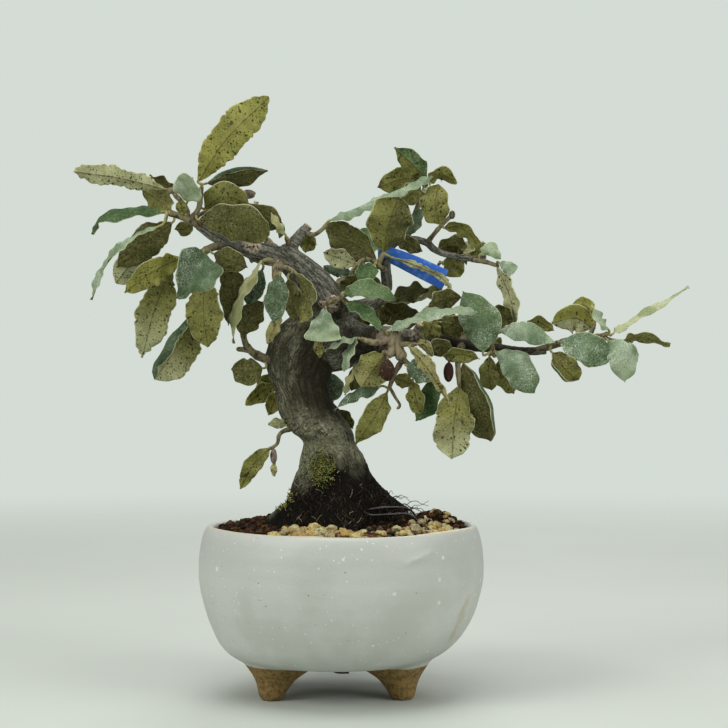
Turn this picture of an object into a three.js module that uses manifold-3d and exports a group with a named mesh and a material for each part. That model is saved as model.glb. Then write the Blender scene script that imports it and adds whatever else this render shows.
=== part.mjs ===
// A silverberry bonsai: a thick leaning trunk with wavy-edged leaves on short twigs, planted in a
// round stoneware pot on four feet. Millimetres, +Z up. The front of the tree faces -Y.
//
// Places on the tree are rows of [x, depth, height]: x and height as they appear from the front,
// drawn in the upright plane through the middle of the pot, and depth behind that plane, so a
// place in front of it has a negative depth. seen() turns such a row into a point in space.

import * as THREE from "three";
import { mergeVertices } from "three/addons/utils/BufferGeometryUtils.js";
import Module from "manifold-3d";

const wasm = await Module();
wasm.setup();

// Driving dimensions
const EYE = { x: 8.8, distance: 700, height: 128 };
const GAP = 0.3;
const RIM_HEIGHT = 65.4;
const POT_BOTTOM = 13.8;
const POT_FLOOR = 18.2;
const POT_SIDES = 28;
const HOLE_RADIUS = 7;
const HOLE_SIDES = 12;
const FEET = [
  { turn: 210, inward: 0 }, { turn: 330, inward: 3.4 }, { turn: 31, inward: 3.8 }, { turn: 148, inward: 0.8 },
];
const FOOT_SIDES = 8;
const NET_WIDTH = 22;
const NET_CELL = 3.8;
const NET_PITCH = 5;
const NET_THICKNESS = 1;
const WIRE_RADIUS = 0.7;
const WIRE_STEPS = 34;
const SOIL_RADIUS = 48.2;
const SOIL_EDGE = 64.2;
const SOIL_CROWN = 4.6;
const ABOVE_SOIL = 75;
const GRAIN = 0.8;
const GRAVEL = { inner: 35.5, outer: 47.8, bottom: 61.5, top: 64.4, rise: 2.6, from: -128, to: -18, steps: 12 };
const PEBBLES = 18;
const TRUNK_SIDES = 14;
const LIMB_SIDES = 6;
const TWIG_SIDES = 4;
const ROOT_SAMPLES = 24;
const BLADE = 0.7;
const PETIOLE = { halfWidth: 0.75, thickness: 1.2 };
const TAG = { width: 3.7, thickness: 0.7, steps: 18 };

// Colours and surfaces
const surface = (color, roughness, metalness = 0) =>
  new THREE.MeshStandardMaterial({ color, roughness, metalness });
const STONEWARE = surface(0xc6cccb, 0.35);
const SOIL = surface(0x3a2a1e, 0.95);
const PALE_STONE = surface(0xc9b98a, 0.75);
const BARK = surface(0x655f55, 0.9);
const LEAF = surface(0x83883f, 0.6);
const TAG_PLASTIC = surface(0x1f66c8, 0.4);
const BLACK_WIRE = surface(0x1c1c1e, 0.45, 0.6);
const NET_PLASTIC = surface(0x2b2d2e, 0.6);

// Outside of the pot from the edge of its underside to the rim, and back down the inside
const POT_OUTLINE = [
  [33, POT_BOTTOM], [38.4, 14.6], [43.4, 17.6], [47.8, 22.8], [52, 31.5], [54.8, 42], [55.3, 50], [54.6, 58],
  [53, 64], [51.6, RIM_HEIGHT], [49.8, RIM_HEIGHT - 0.4], [49.4, 62], [50.6, 49], [48.8, 36],
  [44, 25], [30, POT_FLOOR],
];

// Foot sections from the pad up: height, middle's distance from the axis, half depth, half width
const FOOT_OUTLINE = [
  [0, 30.6, 3.9, 4.2], [0.9, 30.5, 4.7, 5], [4.5, 29.6, 6.7, 7], [9, 28, 9.6, 9.2], [15.4, 25.4, 13, 12],
];

// Trunk sections from the root plug up: x, depth, height, half width, half depth, flare of roots
const TRUNK = [
  [-2.5, 0, 47, 12, 11, 0], [-2.5, 0, 56, 20, 18, 0.05], [-2.5, 0, 64, 26.5, 22.5, 0.1],
  [-1.8, 0, 70, 24.6, 21, 0.12], [-0.9, 0, 75, 21, 18.5, 0.1], [-2, 0, 80, 17.8, 16.5, 0.07],
  [-3.2, 0, 85, 14.6, 14.2, 0.05], [-3.7, 0, 90, 12.9, 12.6, 0.03], [-4.4, 0, 97, 10.6, 10.8, 0],
  [-7.2, 0, 101, 12.2, 11.4, 0], [-9.8, 1, 105, 12.4, 11.6, 0], [-12.9, 1, 110, 11.4, 11, 0],
  [-15, 1, 116, 10.4, 10.6, 0], [-16.5, 2, 122, 11.8, 11.6, 0], [-16.4, 2, 128, 13.4, 12.4, 0],
  [-15, 2, 134, 14.3, 12.6, 0], [-12.4, 2, 140, 14, 12, 0], [-8.6, 2, 146, 12.2, 10.6, 0],
  [-5.6, 2, 151, 9.4, 9, 0], [-4.8, 2, 155, 5.6, 6, 0],
];

// Limbs, branches and pruned stubs that grew from the trunk, each with its radius along the way
const LIMBS = [
  { at: [[-6, 2, 149], [-12, 0, 159.5], [-19, -3, 167], [-25, -5, 171]], r: [7.4, 6.5, 5.9, 4.4] },
  {
    at: [[-21, -4, 169], [-32, -7, 171.5], [-40, -9, 174.5], [-48, -11, 177.8], [-55, -13, 182]],
    r: [4.2, 4, 3.3, 2.9, 2.3],
  },
  { at: [[-22, -4, 169.5], [-18, -4, 176], [-12.8, -3, 182]], r: [3, 2.3, 2.1] },
  { at: [[-33.5, -7.5, 172], [-35, -11, 175]], r: [2.6, 2] },
  { at: [[-33, -7, 171], [-35.6, -8, 167.6]], r: [1.3, 0.8] },
  { at: [[-4, 0, 151.5], [-3.4, -9.5, 152.6]], r: [3.6, 2.8] },
  { at: [[-8, 0, 150], [-7.6, -10.5, 151.6]], r: [2.2, 1.8] },
  { at: [[-22, -4, 167], [-25.6, -9.8, 165.6]], r: [2.8, 2.3] },
  { at: [[-9, 1, 138], [1, 1, 136.6], [10, -2, 136.8], [18.4, -7, 138]], r: [12, 11, 7, 4.2] },
  {
    at: [
      [13, -7.5, 140.6], [28, -5, 138.8], [40, -3, 137], [52, -2, 135], [62, -3, 134], [72, -4, 133],
      [80, -5, 133.4],
    ],
    r: [2.8, 2.5, 2.3, 2.1, 1.9, 1.8, 1.6],
  },
  { at: [[28.5, -5, 139], [31, -8.5, 144]], r: [1.6, 1.5] },
  {
    at: [[-3, 4, 148], [9, 8, 150.5], [17, 9, 156.5], [17.2, 8, 165], [17.4, 7, 171]],
    r: [4.4, 3.1, 2.6, 2.1, 1.8],
  },
  {
    at: [
      [17.3, 7, 169.8], [20.5, 8, 175], [27, 8, 176.6], [33, 7, 175.4], [37, 5, 172.2], [44, 4, 170],
      [50, 3, 169.2], [56.5, 2, 170],
    ],
    r: [1.8, 1.7, 1.6, 1.5, 1.4, 1.3, 1.25, 1.2],
  },
];

// How wide a leaf of each form is along its blade: where it is widest, how full, how wide its end
const FORMS = {
  oval: { skew: 0.95, power: 0.75, end: 0.06 },
  round: { skew: 1, power: 0.5, end: 0.1 },
  blunt: { skew: 1.1, power: 0.48, end: 0.32 },
  point: { skew: 0.8, power: 0.9, end: 0.04 },
  strap: { skew: 1, power: 0.4, end: 0.1 },
  fan: { skew: 1.9, power: 0.8, end: 0.85 },
};

// A leaf row: places from the foot of its blade to the tip, width, turn and form. At a turn of 0
// the upper face looks at the front, at 90 it looks up, and at 180 the underside looks at the
// front. A fold raises both edges towards the upper face by that angle.
const leaf = (at, width, turn, form = "oval", fold = 0) => ({ at, width, turn, form, fold });
const twig = (at, from, to) => ({ at, from, to });
const fruit = (at, width, height) => ({ at, width, height });

const SPRAYS = {
  spray_top_left: {
    twigs: [
      twig([[-52, -12, 180.2], [-57, -13.6, 183.2], [-61, -15, 185], [-68, -17, 187.2]], 2.1, 1.1),
      twig([[-60, -15, 184.6], [-61, -16, 189.5], [-66, -17.5, 195.2]], 1.2, 0.8),
      twig([[-59, -14.4, 184.2], [-55.6, -16.4, 189], [-54.4, -17, 198]], 1.2, 0.8),
      twig([[-58.6, -14.2, 184], [-52, -8.6, 188], [-37.5, -6, 194]], 0.9, 0.6),
    ],
    leaves: [
      leaf([[-55.6, -17, 199.6], [-45, -19, 215.6], [-28.4, -13, 232]], 14, 158, "blunt"),
      leaf([[-69.5, -18, 196.4], [-86, -20, 200.4], [-104.4, -16, 203]], 9, 155, "blunt"),
      leaf([[-64, -13, 196.4], [-70, -10, 199], [-77, -7, 200]], 6.5, 145),
      leaf([[-66.6, -13, 187.8], [-71, -9, 191.6], [-77.6, -6, 196]], 10, 165),
      leaf([[-60.2, -18.5, 191.6], [-59.4, -23, 197], [-58, -29, 200.6]], 11.2, 0, "round"),
      leaf([[-52, -12, 198.6], [-42, -9, 201], [-28.8, -8, 203.6]], 10.5, 140, "oval", 22),
      leaf([[-53, -15, 189], [-46, -19, 193.4], [-36, -16, 190.4]], 11, 165, "round"),
      leaf([[-55, -17, 184.4], [-42, -21, 183.4], [-28, -18, 178.6]], 14.5, 160, "blunt"),
      leaf([[-44, -7, 184], [-33, -5, 185.4], [-22.6, -5, 182.4]], 10.5, 160, "round"),
      leaf([[-70, -17, 187.4], [-82, -19, 187.6], [-94, -18, 184.4], [-97, -18, 178.4]], 7, 50, "point"),
      leaf([[-61, -16.5, 186.6], [-62.4, -18, 189], [-62, -19, 191.8]], 4.4, 175),
      leaf([[-72, -19.5, 181.4], [-84, -23, 175], [-92.6, -22, 165.6], [-97.4, -20, 153]], 5.6, 55, "strap"),
      leaf([[-66.4, -16, 183], [-76, -16, 175.6], [-87.4, -14, 165.6]], 12.5, 170),
      leaf([[-75, -11, 173], [-81, -10, 168], [-88, -8, 159.6]], 10.5, 165, "blunt"),
      leaf([[-59, -12.6, 182.6], [-61.4, -10, 180.6], [-65, -8.6, 180.6]], 6.4, 150),
    ],
    fruits: [fruit([-36.4, -6, 194.2], 5, 4), fruit([-66.4, -17.6, 195.6], 3.2, 2.8)],
  },
  spray_left_hanging: {
    twigs: [
      twig([[-42, -9.6, 175.4], [-50, -12, 173.6], [-55, -14, 171.4], [-62, -16, 169.6]], 1.8, 1),
      twig([[-47, -11.4, 174.4], [-48.6, -9, 166], [-51, -8, 158], [-55, -6, 149]], 1, 0.7),
    ],
    leaves: [
      leaf([[-63, -17, 169.4], [-73, -20, 164.4], [-84.6, -17, 156]], 10.5, 160),
      leaf([[-66.6, -13, 165.4], [-73, -14, 149], [-77.8, -10, 130.4]], 14, 160, "oval"),
      leaf([[-57, -6, 147], [-64, -9, 135.4], [-72.8, -7, 122]], 16, 155, "blunt", -14),
      leaf([[-54, -16, 171], [-55.4, -20, 163], [-63, -19, 153.6]], 14.5, 5, "point", 24),
      leaf([[-53, -12, 160.6], [-53.6, -15, 148], [-52, -11, 134.6]], 15, 168),
      leaf([[-45, -8, 168], [-42.4, -5, 157], [-44, -3, 143]], 10, 165),
      leaf([[-49.6, -14, 171], [-44, -15, 168.6], [-36.6, -13, 165.6]], 9.5, 155),
    ],
    fruits: [],
  },
  spray_limb_front: {
    twigs: [
      twig([[-22, -4, 168], [-24.4, -12, 166.4], [-26, -15, 164.4], [-25, -15.6, 156], [-24, -15, 148]],
        1.5, 0.8),
      twig([[-24.6, -12.4, 166.2], [-28, -12.8, 168.6], [-31, -13, 168]], 1.1, 0.8),
      twig([[-25, -13.4, 165.8], [-21, -15.6, 165.4], [-18, -16.4, 163.6]], 1.1, 0.8),
    ],
    leaves: [
      leaf([[-31.4, -13, 168], [-36, -15, 159.6], [-41, -15, 149], [-42.4, -14, 136]], 7.4, 62, "strap"),
      leaf([[-31, -11.5, 164.6], [-34, -11, 158], [-36.6, -10.6, 151]], 8.5, 15),
      leaf([[-24, -17.6, 162.6], [-25.4, -20.6, 154], [-26.4, -18, 144]], 10.6, 4),
      leaf([[-17.6, -17, 163], [-13.6, -19, 157], [-13.6, -18.6, 150], [-16.6, -17, 143.8]], 7, 140, "strap"),
      leaf([[-20.6, -15.6, 161], [-19, -16, 153], [-18, -15.6, 145]], 8, 170),
      leaf([[-23.6, -15.4, 146.6], [-26.4, -16, 142], [-29, -15, 136]], 5, 155),
    ],
    fruits: [],
  },
  spray_trunk_left: {
    twigs: [
      twig([[-22, 0, 128.4], [-30, -3, 130.2], [-35.4, -5, 133.2], [-38, -6, 138], [-38.4, -7, 147]],
        2.1, 0.9),
      twig([[-35.8, -5, 133.6], [-41, -6, 133.8]], 1.2, 0.9),
    ],
    leaves: [
      leaf([[-38.6, -8, 139], [-36, -9, 146], [-30.4, -8, 152.4]], 10.4, 168),
      leaf([[-31, -4.6, 126.4], [-36.6, -6, 125], [-43, -5, 126]], 10.4, 172, "round"),
    ],
    fruits: [],
  },
  spray_trunk_low: {
    twigs: [
      twig([[-15, 0, 103.6], [-21.6, -3, 102.2], [-24.2, -4, 100.4], [-25, -4, 97], [-27.6, -4, 95]], 1, 0.6),
      twig([[-26.8, -4, 95.4], [-26.4, -4.2, 92], [-26, -4, 88]], 0.6, 0.5),
    ],
    leaves: [
      leaf([[-28, -4.6, 95.2], [-34.4, -6.4, 89], [-39.5, -5, 79.4]], 7, 165),
      leaf([[-26.2, -4, 89], [-26.4, -5, 87], [-26, -4, 84.2]], 2.6, 10, "strap"),
      leaf([[-21.4, -3.6, 104], [-24.6, -4.4, 105], [-28.6, -5, 104.6]], 4.4, 20),
    ],
    fruits: [fruit([-26.4, -4.2, 92], 2.8, 6)],
  },
  spray_trunk_behind_left: {
    twigs: [twig([[-14, 4, 119.6], [-20, 15, 120], [-24, 18, 119.4]], 1.3, 0.8)],
    leaves: [
      leaf([[-25.6, 17, 119.4], [-31, 16, 117.4], [-37.4, 14, 112]], 8, 160),
      leaf([[-24.6, 17, 117], [-26.6, 16, 113], [-28.4, 14, 108]], 7, 168),
      leaf([[-24.6, 18, 121], [-29, 18, 121.6], [-33.4, 17, 119.4]], 6, 150),
    ],
    fruits: [],
  },
  spray_trunk_behind_right: {
    twigs: [twig([[-9, 4, 113], [-5, 14, 112.4], [-2.4, 16, 111]], 1.1, 0.8)],
    leaves: [
      leaf([[-1, 16, 110], [2, 15, 107], [4.6, 14, 102.6]], 5.6, 165),
      leaf([[-3.4, 15.6, 113.6], [-2.4, 14, 118.6], [-4.4, 14, 124.4]], 8, 10),
    ],
    fruits: [],
  },
  spray_fork: {
    twigs: [
      twig([[-1, 0, 153.4], [0, -9.6, 154], [0.2, -10.4, 155.2]], 1.3, 1),
      twig([[0, -9.4, 153.8], [-2.6, -12.4, 152.8], [-6.2, -13, 150.6], [-8.6, -13.2, 140]], 1.1, 0.7),
      twig([[0, -9.4, 153.8], [1.4, -10.4, 151.8]], 1, 0.8),
    ],
    leaves: [
      leaf([[0.8, -10.4, 155.8], [10, -13, 157.2], [21.4, -11, 153.2]], 8.4, 42, "oval"),
      leaf([[-6.4, -14.6, 149.8], [-7, -17.6, 143], [-7, -18, 136.6]], 13.4, 5, "fan", 4),
      leaf([[-8.8, -14, 139], [-8.8, -15, 135], [-8.2, -14.6, 130.4]], 3.8, 165),
      leaf([[2, -10.8, 151.6], [9, -14, 148.4], [15.6, -16, 141]], 6, 50, "strap"),
    ],
    fruits: [],
  },
  spray_knuckle: {
    twigs: [
      twig([[14.6, -6, 138.6], [19, -12, 138], [22, -13, 134], [24, -13, 129.4]], 2.8, 1.9),
      twig([[20, -12.4, 136.6], [22.4, -13.4, 142]], 2.1, 1.6),
      twig([[18.6, -12.4, 138], [13, -14.6, 136.4], [7, -15, 138]], 1.7, 0.8),
      twig([[21, -12.6, 135.4], [18.6, -14, 131.6], [16, -13, 133]], 1.8, 1.2),
      twig([[22.6, -12.8, 133], [13, -9, 129], [5, -8, 127.4]], 1, 0.7),
      twig([[24, -13, 130], [20.6, -10.4, 124], [18.6, -9, 118.4]], 1.1, 0.8),
      twig([[18.8, -9, 119], [21, -9, 115], [22.8, -9, 112], [21.6, -9, 110.4]], 0.6, 0.5),
      twig([[23.6, -13, 130], [27, -13.4, 127], [31, -12.6, 122]], 1.2, 0.8),
      twig([[21.4, -12.8, 135], [25, -15, 135.8], [29, -16, 135.4]], 1.3, 0.8),
      twig([[18.4, -11.8, 138.4], [17.6, -14.6, 140.6]], 1.3, 1.1),
    ],
    leaves: [
      leaf([[6, -15.4, 138.2], [0, -18, 136.4], [-6.6, -17, 133]], 5, 58, "point"),
      leaf([[5.6, -15.4, 137.6], [2.4, -17, 131.6], [1, -16, 125]], 6, 52, "strap"),
      leaf([[4.8, -8.4, 126.6], [4.6, -8, 122], [4, -7, 117.6]], 5.4, 168),
      leaf([[5.4, -9.4, 126], [2.6, -10.4, 121.4], [1.4, -10, 115.8]], 4.4, 55, "strap"),
      leaf([[16.6, -14, 131.4], [12.6, -16.6, 126], [7.8, -14.6, 118.8]], 13, 168, "round"),
      leaf([[14.6, -10, 119], [6, -12, 116.6], [-3, -12, 110]], 6.4, 35, "point"),
      leaf([[17.6, -9.6, 116.6], [13, -12, 107.6], [5.6, -9, 96.8]], 9.8, 162),
      leaf([[20.4, -9, 122.6], [24, -8.4, 121.6], [28, -8, 120]], 6, 160),
      leaf([[25.6, -15.4, 127.4], [30.6, -18, 125.6], [36.8, -17, 122.4]], 9, 12, "round"),
      leaf([[28, -13, 121], [29, -14, 115], [30.6, -12, 108]], 7, 168),
      leaf([[34.6, -11.6, 121.4], [34.2, -10.6, 114], [29, -8, 105.8]], 9.4, 20),
      leaf([[26.8, -17, 134.4], [34, -21, 126], [42.2, -20, 112.6]], 6.6, 140, "point"),
      leaf([[29.6, -16.4, 135.8], [32.6, -17, 135.4], [35.6, -17, 131]], 4.6, 150),
      leaf([[18, -15, 141], [28, -19.4, 145.8], [40, -21, 149], [53, -19, 148.4]], 8.4, 55, "oval"),
    ],
    fruits: [fruit([17.8, -19.6, 125.6], 4.8, 8.4)],
  },
  spray_centre: {
    twigs: [
      twig([[17, 7.6, 164.6], [15.4, 0.6, 165.6], [13.6, -2, 167.6]], 1.2, 0.9),
      twig([[14, -1.6, 167.2], [9, -2, 169], [4.4, -2.6, 164.8]], 0.9, 0.7),
      twig([[14.4, -1, 167], [16.4, -1.6, 171.4]], 1, 0.9),
    ],
    leaves: [
      leaf([[16.6, -1.8, 172], [18.4, -7, 182.4], [22.4, -10, 193.2]], 17, 170, "blunt"),
      leaf([[13.4, -1.6, 168.6], [4, 1, 175.6], [-6.6, 3, 182.6]], 13, 165),
      leaf([[5.6, -2, 167], [-0.4, -1, 169.2], [-7, 0, 171.6]], 8, 155),
      leaf([[12.6, -3.4, 166.6], [9.6, -6.4, 163.6], [6.4, -7, 160.6]], 8, 10, "round"),
      leaf([[3.6, 1, 163.6], [-1, 5, 164.6], [-7, 8, 166]], 5, 25),
    ],
    fruits: [],
  },
  spray_pruned_stub: {
    twigs: [
      twig([[-15, -3.4, 179.6], [-11, -4.8, 178.4], [-7.4, -5.6, 180.6], [-5, -6, 183.6]], 1, 0.7),
    ],
    leaves: [
      leaf([[-4.6, -6.4, 184], [8, -3.6, 189.6], [21, -2, 195.2], [35.4, 0, 201.4]], 9.4, 57, "oval"),
      leaf([[-11.4, -1, 177.8], [-13, 2, 175], [-14, 3, 171.4]], 7, 165),
    ],
    fruits: [],
  },
  spray_stub_foot: {
    twigs: [twig([[-20, -4.4, 173.4], [-21.6, -9.4, 177.6]], 1.1, 0.9)],
    leaves: [leaf([[-21.8, -9.6, 178.4], [-24, -11, 182.4], [-27.4, -11, 187]], 5, 60, "strap")],
    fruits: [],
  },
  spray_crown: {
    twigs: [twig([[25, 8, 176.4], [27, 10, 182], [30, 11, 190], [33.4, 11, 199]], 1.4, 0.8)],
    leaves: [
      leaf([[26, 7.4, 178.4], [28.2, 4.6, 183.2], [31.6, 4.6, 188.8]], 6.4, 18),
      leaf([[33, 10, 200.4], [28, 9, 205.6], [20.6, 10, 212.4]], 9.6, 150, "oval", 16),
      leaf([[32, 12, 200], [24, 14, 200.2], [14, 14, 197]], 9.6, 158, "round"),
      leaf([[30.6, 9.4, 197.4], [27.4, 8, 194.6], [22.6, 8, 191.4]], 8.6, 165, "round"),
      leaf([[33.6, 9.6, 198.8], [39, 8.4, 202], [45, 9, 198.4]], 7, 135),
      leaf([[34.4, 9, 198.2], [34.4, 7.6, 196.4], [33.2, 7.4, 194.2]], 5, 10, "fan"),
    ],
    fruits: [],
  },
  spray_side_bud: {
    twigs: [twig([[33.4, 7, 175.2], [36.2, 3.6, 178.8], [38.6, 2.6, 181.6], [43, 1.6, 186]], 1, 0.7)],
    leaves: [
      leaf([[38.4, 1.6, 182.6], [36.6, -0.4, 190], [38, 1, 198]], 11, 165, "round"),
      leaf([[40.4, 2, 181.2], [45.4, 1, 181.8], [50.4, 0, 178.6], [54.2, 0, 172.8]], 6.6, 140, "strap"),
    ],
    fruits: [fruit([43.2, 1.6, 186.2], 2.6, 3)],
  },
  spray_branch_back: {
    twigs: [twig([[47.6, 3.4, 169.4], [48.4, 9, 170.2], [49, 16, 170.6]], 1.1, 0.7)],
    leaves: [
      leaf([[47.6, 9.6, 171.4], [44.4, 10.6, 174], [37.4, 11, 172.6]], 8.6, 160, "round"),
      leaf([[47.8, 9.6, 169], [44, 9.6, 166.8], [39.6, 9, 162.6]], 10, 160),
      leaf([[49, 16.4, 171], [51.4, 26, 172.6], [51, 37, 172]], 11, 90),
      leaf([[48.6, 15, 169.8], [43, 22, 169], [39, 31, 167.6]], 11, 100),
    ],
    fruits: [],
  },
  spray_branch_end: {
    twigs: [
      twig([[50.4, 3, 169.2], [52.4, -1, 168.4], [56.4, -2, 167.8], [61, -2.6, 166.2]], 1.1, 0.8),
    ],
    leaves: [
      leaf([[54.6, -3, 170.8], [58, -4.6, 173], [62.2, -4.6, 169]], 6, 26),
      leaf([[61.2, -3.4, 167.6], [64, -4.4, 166.4], [67.4, -5, 163.6]], 6.6, 12, "fan"),
      leaf([[61, -3, 165.4], [64.6, -4.4, 158], [66.8, -5, 151], [67.8, -4, 143]], 7.4, 132, "strap"),
    ],
    fruits: [],
  },
  spray_branch_middle: {
    twigs: [
      twig([[39, -3, 137], [37.6, -4, 141], [36, -4, 149]], 1.2, 0.7),
    ],
    leaves: [
      leaf([[34, -3.6, 150.4], [39.6, -2, 153.2], [47, -1, 154]], 8.6, 152),
      leaf([[36, -5.4, 145.6], [34.8, -6.6, 142], [33.4, -6, 137]], 8.6, 162, "blunt"),
      leaf([[39, -5, 144.2], [43, -6.4, 143.2], [48.4, -5.4, 141]], 8, 158),
    ],
    fruits: [],
  },
  spray_right_low: {
    twigs: [
      twig([[47, -2.6, 135.8], [46, -8, 132], [45.4, -10, 129], [45.6, -11.4, 124], [46, -12, 119]], 1.5, 0.8),
      twig([[45.6, -9.4, 130], [42.4, -10.4, 129.6], [40.4, -10.4, 131]], 0.9, 0.7),
    ],
    leaves: [
      leaf([[40, -10.6, 131.2], [46.4, -12.6, 132], [54, -12, 130]], 6.4, 150),
      leaf([[47.6, -10.6, 128], [53, -14, 114], [58.2, -10, 97.8]], 14, 160, "oval", 14),
      leaf([[45.8, -12.6, 119], [44, -17, 106], [43, -15, 91]], 15, 166, "oval"),
      leaf([[43.4, -7.6, 134], [38.4, -8, 134.4], [33, -7, 132.4]], 7.6, 158),
    ],
    fruits: [fruit([41.8, -10.6, 124.8], 3.8, 7.6)],
  },
  spray_right_middle: {
    twigs: [
      twig([[58, -2.6, 134.4], [58.4, -8, 136], [60.4, -9.4, 141]], 1.4, 0.9),
      twig([[58.4, -7.6, 135.8], [59.4, -8.6, 131]], 1.1, 0.9),
      twig([[60, -9, 140], [66, -6.6, 142.4], [71, -5.4, 143]], 0.9, 0.7),
    ],
    leaves: [
      leaf([[55.4, -10.6, 133], [54.6, -14, 144], [47.4, -13, 156.4]], 15.4, 8, "oval"),
      leaf([[61.6, -10, 141], [72, -12.6, 140.8], [83.2, -11, 136.4]], 8.4, 25),
      leaf([[60.6, -10, 132.6], [68.6, -13, 127.6], [75.4, -11, 116.8]], 12.6, 10, "blunt"),
      leaf([[57.8, -7, 130.8], [57.4, -6.6, 124.6], [58.4, -5, 117.8]], 7.4, 168, "blunt"),
      leaf([[62, -6.6, 130], [64, -6, 123.6], [67.2, -4, 116.4]], 9, 162),
      leaf([[66.6, -5.4, 143.4], [63, -4.4, 147.4], [58.4, -3.6, 149.4]], 7.4, 158),
      leaf([[71.6, -5, 143.4], [77, -4.4, 144.4], [83, -4, 141]], 5.6, 150),
    ],
    fruits: [],
  },
  spray_right_end: {
    twigs: [
      twig([[76, -4.6, 133.2], [85, -6, 136], [93, -7, 138.6], [100, -8, 138.8], [104.2, -8.4, 140]], 1.5, 0.8),
      twig([[96.6, -7.6, 138.8], [98.4, -5.6, 142.6], [98.6, -4.4, 146.6]], 0.9, 0.7),
      twig([[101, -8.2, 138.8], [105.4, -7, 137.4], [109, -6.4, 137]], 0.8, 0.6),
    ],
    leaves: [
      leaf([[82.4, -9.6, 132.2], [86.6, -12, 126.6], [92.2, -11, 121.8]], 10, 162, "blunt"),
      leaf([[85.4, -10.6, 136.4], [95, -14.4, 134.2], [105.4, -13, 130.6]], 12.6, 12, "blunt"),
      leaf([[104.2, -11.4, 137], [110, -17, 131.4], [110.6, -16, 120.8]], 12.6, 6, "oval"),
      leaf([[98, -5, 143], [91, -4.4, 144.6], [82.2, -3, 145.6]], 10, 150),
      leaf([[98.2, -3.6, 147.6], [95, -2.6, 150.8], [89.6, -2, 151]], 6.4, 155),
      leaf([[104, -9.6, 141.4], [100.6, -11, 145], [97.8, -10, 151]], 5.4, 52, "strap"),
      leaf([[105.2, -9, 139.4], [110, -10, 143], [122, -12, 150.2], [135.6, -10, 158]], 5, 64, "point"),
      leaf([[109.4, -7, 137], [117, -7.6, 138.6], [128.2, -6, 135.4]], 6, 120, "strap"),
    ],
    fruits: [],
  },
  spray_behind_centre: {
    twigs: [twig([[-4, 4, 152], [-3, 17, 157], [2, 30, 162], [8, 42, 166]], 2.2, 1)],
    leaves: [
      leaf([[-4, 18, 157.4], [-8, 26, 160], [-13, 35, 158]], 12, 92),
      leaf([[1, 30, 162], [-5, 38, 163.4], [-11, 48, 160.6]], 12.6, 95),
      leaf([[4, 32, 162.6], [9.6, 38, 161], [14, 47, 157]], 12, 86, "point"),
      leaf([[8.4, 43.4, 166.4], [9.6, 54, 170], [11, 66, 170.6]], 13, 92),
      leaf([[6.4, 43, 166], [0.6, 51, 166.6], [-5, 60, 163]], 12, 94),
      leaf([[7.4, 40.6, 167], [9, 45, 174], [13.4, 49, 181]], 13, 20),
    ],
    fruits: [],
  },
  spray_behind_left: {
    twigs: [twig([[-20, -2, 168], [-26, 9, 173], [-31, 20, 178], [-36, 31, 182]], 2, 0.9)],
    leaves: [
      leaf([[-29.6, 14, 177], [-37, 22, 181.4], [-44, 32, 184]], 13, 104),
      leaf([[-33, 22, 180], [-39.6, 29, 186], [-46, 35, 191.4]], 12, 40),
      leaf([[-36.4, 32, 182.6], [-35, 43, 186], [-34, 54, 187]], 12.6, 88),
      leaf([[-31.6, 24, 179.6], [-27, 32, 182], [-25, 41, 180]], 11, 92),
      leaf([[-26.6, 13, 172.6], [-22.4, 20, 170], [-20, 29, 166]], 11.6, 90),
    ],
    fruits: [],
  },
  spray_behind_right: {
    twigs: [twig([[46, -2.4, 136], [50, 10, 139], [54, 23, 142], [58, 35, 145]], 1.9, 0.9)],
    leaves: [
      leaf([[49, 11, 140], [43.4, 18, 145.6], [37.4, 25, 149]], 13, 118),
      leaf([[52.6, 17, 141], [57, 25, 138.6], [62, 33, 135]], 12, 90),
      leaf([[53.4, 24, 142.6], [48, 34, 145], [42.6, 44, 143]], 13, 96),
      leaf([[56, 29.6, 144], [55, 39, 149.4], [51, 48, 152]], 12, 60),
      leaf([[58.4, 36, 145.6], [60.4, 48, 148], [61, 61, 146]], 12.6, 90),
      leaf([[47, 9, 138.8], [40, 11, 141.4], [31, 13, 141]], 12.6, 140),
    ],
    fruits: [],
  },
  spray_behind_middle: {
    twigs: [twig([[13, 8.4, 153], [20, 19, 152.4], [27, 30, 153], [33, 40, 154.4]], 2, 0.9)],
    leaves: [
      leaf([[17, 13.4, 151.6], [23.6, 14, 147.4], [31, 15, 145]], 12.6, 150),
      leaf([[15.4, 12.6, 151.6], [14.2, 13.4, 148], [13.6, 13.4, 142]], 11.6, 165),
      leaf([[19.4, 16, 153.4], [26, 16.4, 156.4], [34, 17, 157.4]], 12, 132),
      leaf([[25.6, 30, 152.6], [21.4, 38, 149], [18, 47, 145.6]], 12, 88),
      leaf([[28.6, 31, 153.4], [36, 35.4, 155.6], [44, 41, 154]], 12, 104),
      leaf([[33.4, 41, 154.4], [37.4, 51, 152], [39.6, 61, 147.6]], 12.6, 90),
    ],
    fruits: [],
  },
  spray_behind_trunk: {
    twigs: [twig([[-14, 5, 127], [-15, 19, 130], [-17, 32, 132]], 1.8, 0.9)],
    leaves: [
      leaf([[-14, 21, 130.6], [-10, 29, 134], [-8, 41, 136]], 12, 84),
      leaf([[-16.6, 26, 131.6], [-21.6, 34, 134.6], [-25, 44, 135]], 12, 96),
      leaf([[-17, 33, 132.4], [-17, 44, 134], [-16, 57, 131]], 12.6, 90),
      leaf([[-16, 25, 130], [-19.6, 30, 124.4], [-22, 38, 118]], 11.6, 30),
    ],
    fruits: [],
  },
};

// Places in space

function seen([x, depth, height]) {
  const spread = (EYE.distance + depth) / EYE.distance;
  return new THREE.Vector3(EYE.x + (x - EYE.x) * spread, depth, EYE.height + (height - EYE.height) * spread);
}

function curveThrough(points) {
  return new THREE.CatmullRomCurve3(points, false, "catmullrom", 0.5);
}

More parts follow.
